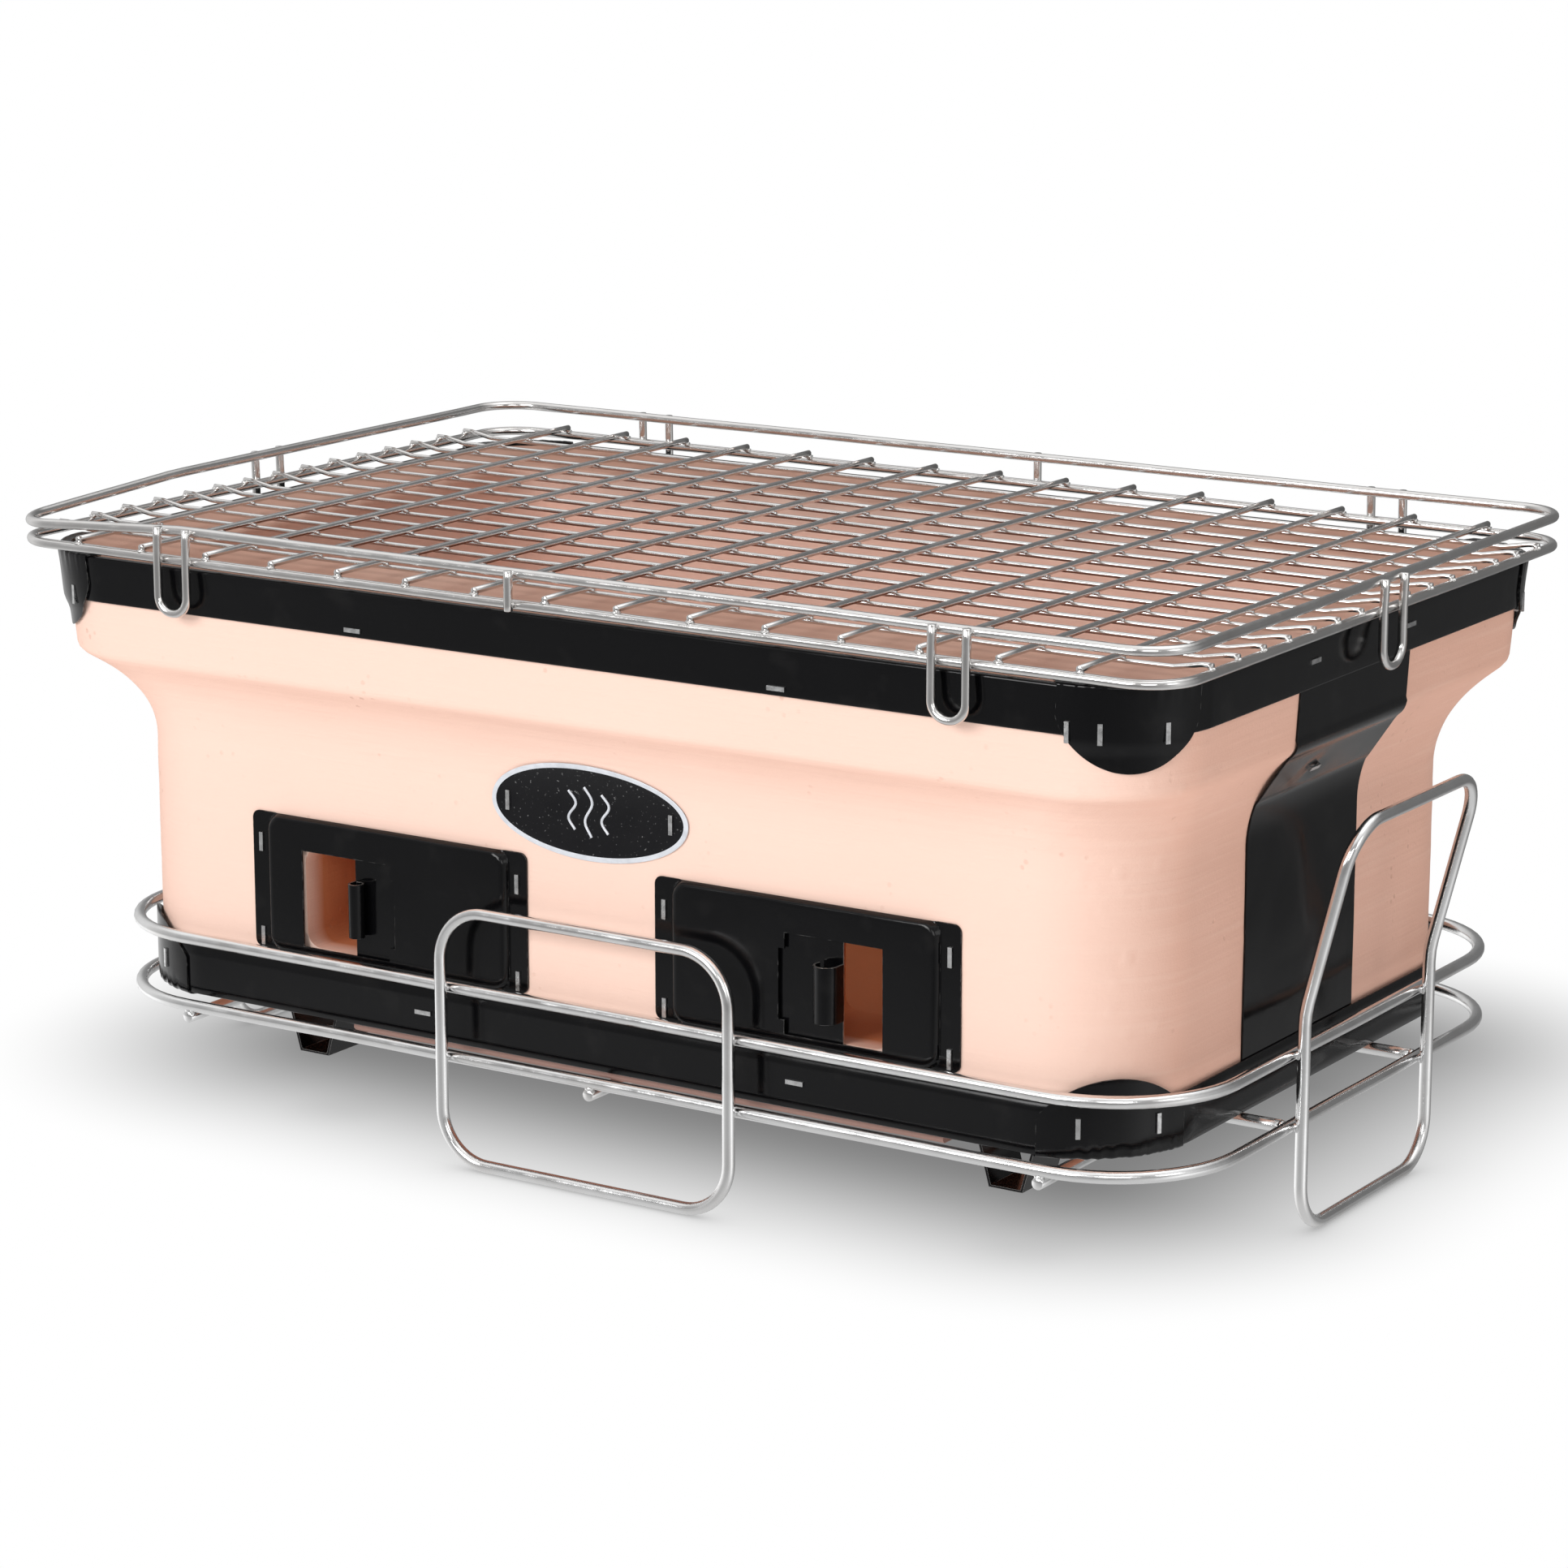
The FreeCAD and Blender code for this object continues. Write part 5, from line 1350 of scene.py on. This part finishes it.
def cooking_grate():
    long_ys = row_of(LONG_WIRE_COUNT, LONG_WIRE_PITCH)
    cross_xs = row_of(CROSS_WIRE_COUNT, CROSS_WIRE_PITCH, GRATE_X)
    half_x = LOOP_LENGTH / 2
    half_y = LOOP_DEPTH / 2
    loop_top_z = LOOP_Z + LOOP_WIRE / 2
    wires = WireBody("cooking_grate", "grate_wire", GRATE_CHROME, 4.0)

    def weld(x, y, z, size):
        wires.weld((x, y, z), X_AXIS, Y_AXIS, size)

    def weld_upright(x, side):
        weld(x, side * (half_y + HANGER_STAND_OFF / 2), LOOP_Z, UPRIGHT_BEAD)
        weld(x, side * (RAIL_DEPTH / 2 + HANGER_STAND_OFF / 2), RAIL_Z, UPRIGHT_BEAD)

    for x in cross_xs:
        for y in long_ys:
            weld(x, y, LONG_WIRE_Z + LONG_WIRE / 2, (1.25, 1.25, 0.75))
        for side in (-1, 1):
            weld(x, side * half_y, loop_top_z, (1.7, 1.6, 0.8))
    for y in long_ys:
        for side in (-1, 1):
            weld(GRATE_X + side * half_x, y, loop_top_z, (1.5, 1.5, 0.8))
    cross_wires = []
    reach = half_y + 0.4
    for i, x in enumerate(cross_xs):
        path = straight((x, -reach, CROSS_WIRE_Z), (x, reach, CROSS_WIRE_Z), 12.0)
        cross_wires.append(tube(waver(path, 0.20, i + 20), CROSS_WIRE / 2, sides=14))
    hangers = []
    for side_x in (-1, 1):
        for side_y, distance in ((-1, FRONT_HANGER_X), (1, BACK_HANGER_X)):
            x = GRATE_X + side_x * distance
            hangers.append(hanger((x, side_y * (half_y + HANGER_STAND_OFF)),
                                  (x, side_y * (RAIL_DEPTH / 2 + HANGER_STAND_OFF)), X_AXIS, HANGER_SPACING))
            for offset in (-HANGER_SPACING / 2, HANGER_SPACING / 2):
                weld_upright(x + offset, side_y)
        hangers.append(hanger((GRATE_X + side_x * (half_x + HANGER_STAND_OFF), 0),
                              (GRATE_X + side_x * (RAIL_LENGTH / 2 + HANGER_STAND_OFF), 0),
                              Y_AXIS, END_HANGER_SPACING))
    posts = []
    for name, side in (("front", -1), ("back", 1)):
        x = GRATE_X + POST_X[name]
        y = side * (half_y + HANGER_STAND_OFF)
        posts.append(tube(straight((x, y, LOOP_Z - 2.0), (x, y, HANGER_TOP_Z), 3.0), HANGER_WIRE / 2))
        weld_upright(x, side)
    wires.add("grate_frame_loop", [ring(LOOP_LENGTH, LOOP_DEPTH, LOOP_CORNER, LOOP_Z, LOOP_WIRE, GRATE_X, 3)])
    rail_points, rail_faces = ring(RAIL_LENGTH, RAIL_DEPTH, LOOP_CORNER, RAIL_Z, LOOP_WIRE, GRATE_X, 4)
    wires.add("grate_rail_loop", [([drooped(point) for point in rail_points], rail_faces)])
    wires.add("grate_long_wires", [long_wire(y, i) for i, y in enumerate(long_ys)])
    wires.add("grate_cross_wires", cross_wires)
    wires.add("grate_hangers", hangers)
    wires.add("grate_posts", posts)
    wires.add_beads("grate_weld_beads")


# ---------------------------------------------------------------- charcoal grate


def charcoal_grate():
    length = CAVITY_LENGTH - 2 * COAL_CLEARANCE - COAL_WIRE
    depth = CAVITY_DEPTH - 2 * COAL_CLEARANCE - COAL_WIRE
    z = GRATE_SHELF_Z + COAL_WIRE / 2 + HAIR
    bar_z = z + (COAL_WIRE + COAL_BAR) / 2
    reach = depth / 2 + 1.0
    frame_path = bent_path(rectangle(length, depth, z, BODY_X), [COAL_CORNER] * 4, True)
    frame_tube = tube(frame_path, COAL_WIRE / 2, closed=True)
    count = int((length - 2 * COAL_CORNER) / COAL_BAR_PITCH) + 1
    bars, beads = [], []
    for i, x in enumerate(row_of(count, COAL_BAR_PITCH, BODY_X)):
        bars.append(tube(straight((x, -reach, bar_z), (x, reach, bar_z)), COAL_BAR / 2))
        for y in (-depth / 2, depth / 2):
            beads.append(weld_bead(Vector((x, y, z + COAL_WIRE / 2)), X_AXIS, Y_AXIS, (2.0, 1.7, 0.8), i + y))
    for name, tubes, replaced in (("frame_round", [frame_tube], ["charcoal_grate_frame"]),
                                  ("bars_round", bars, ["charcoal_grate_bars"]), ("weld_beads", beads, ())):
        merge_tubes("charcoal_grate_" + name, tubes, "charcoal_grate", "coal_grate_wire", COAL_STEEL,
                    replaced)


# ---------------------------------------------------------------- stage

CAMERA_PLACE = (0.9098, -1.4171, 0.5193)
CAMERA_AZIMUTH = 32.91
CAMERA_ELEVATION = 13.37
CAMERA_LENS = 107.9
FLOOR_HALF = 14.0
OVERHEAD = 1.15               # brightness of the mirrored ceiling
# name, place, target, size, power of each soft light
LIGHTS = (("key", (-0.5, -2.4, 1.10), (0, 0, 0.1), (1.4, 1.0), 43.0),
          ("corner_fill", (1.3, -1.9, 0.80), (0, 0, 0.1), (1.0, 0.8), 7.4),
          ("top", (0.5, 0.1, 1.7), (0.1, 0, 0.1), (1.2, 1.0), 3.2),
          ("right_fill", (2.3, -0.6, 0.9), (0, 0, 0.1), (0.8, 0.8), 3.2))


def put_in_scene(name, data, place, direction):
    """Camera or light at a place, looking along a direction."""
    made = bpy.data.objects.new(name, data)
    made.location = place
    made.rotation_mode = "QUATERNION"
    made.rotation_quaternion = direction.to_track_quat("-Z", "Y")
    bpy.context.scene.collection.objects.link(made)
    return made


def camera():
    data = bpy.data.cameras.new("camera")
    data.lens = CAMERA_LENS
    data.sensor_width = 36.0
    data.clip_start, data.clip_end = 0.05, 60.0
    turn, lift = math.radians(CAMERA_AZIMUTH), math.radians(CAMERA_ELEVATION)
    back = Vector((math.sin(turn) * math.cos(lift), -math.cos(turn) * math.cos(lift), math.sin(lift)))
    bpy.context.scene.camera = put_in_scene("camera", data, CAMERA_PLACE, -back)


def floor():
    mesh = bpy.data.meshes.new("floor")
    mesh.from_pydata(rectangle(2 * FLOOR_HALF, 2 * FLOOR_HALF, 0.0), [], [(0, 1, 2, 3)])
    mesh.materials.append(floor_material())
    plane = bpy.data.objects.new("floor", mesh)
    bpy.context.scene.collection.objects.link(plane)


def studio():
    """White room seen by the camera, a dimmer one that lights the object, and a streaky one it mirrors."""
    world = bpy.data.worlds.new("studio")
    world.use_nodes = True
    bpy.context.scene.world = world
    n = Nodes(world.node_tree)
    n.tree.nodes.clear()
    path = n.add("LightPath")
    direction = n.add("TexCoord")["Generated"]
    level, height = room_level(n, direction)
    mirrored = n.add("Mix", {0: n.remap(height, 0.55, 0.80), 2: level, 3: OVERHEAD})[0]
    soft = n.remap(n.dot(direction, (-0.6, -0.7, 0.25)), -0.9, 0.9, 0.15, 0.36)
    unseen = n.choose(path["Is Glossy Ray"], n.glow(soft, "Background"), n.glow(mirrored, "Background"))
    shown = n.choose(path["Is Camera Ray"], unseen, n.glow(1.0, "Background"))
    n.add("OutputWorld", {"Surface": shown})
    for name, place, target, size, power in LIGHTS:
        data = bpy.data.lights.new(name, "AREA")
        data.shape = "RECTANGLE"
        data.size, data.size_y = size
        data.energy = power
        put_in_scene(name, data, place, Vector(target) - Vector(place))
    bpy.context.scene.view_settings.view_transform = "Standard"


# ---------------------------------------------------------------- everything together

clay_casting()
rim_band()
base_band()
clay_foot_rail("front", -1)
clay_foot_rail("back", 1)
for side_x, end in ((-1, "left"), (1, "right")):
    end_strap(end, side_x)
    vent_plate(end, VENTS[end])
    vent_door(end, VENTS[end])
    for side_y, face in ((-1, "front"), (1, "back")):
        rim_cap(face + "_" + end, side_x, side_y)
        base_cap(face + "_" + end, side_x, side_y)
badge()
badge_waves()
finish_cad_nodes()
carrier()
cooking_grate()
charcoal_grate()
camera()
floor()
studio()

bpy.context.view_layer.update()
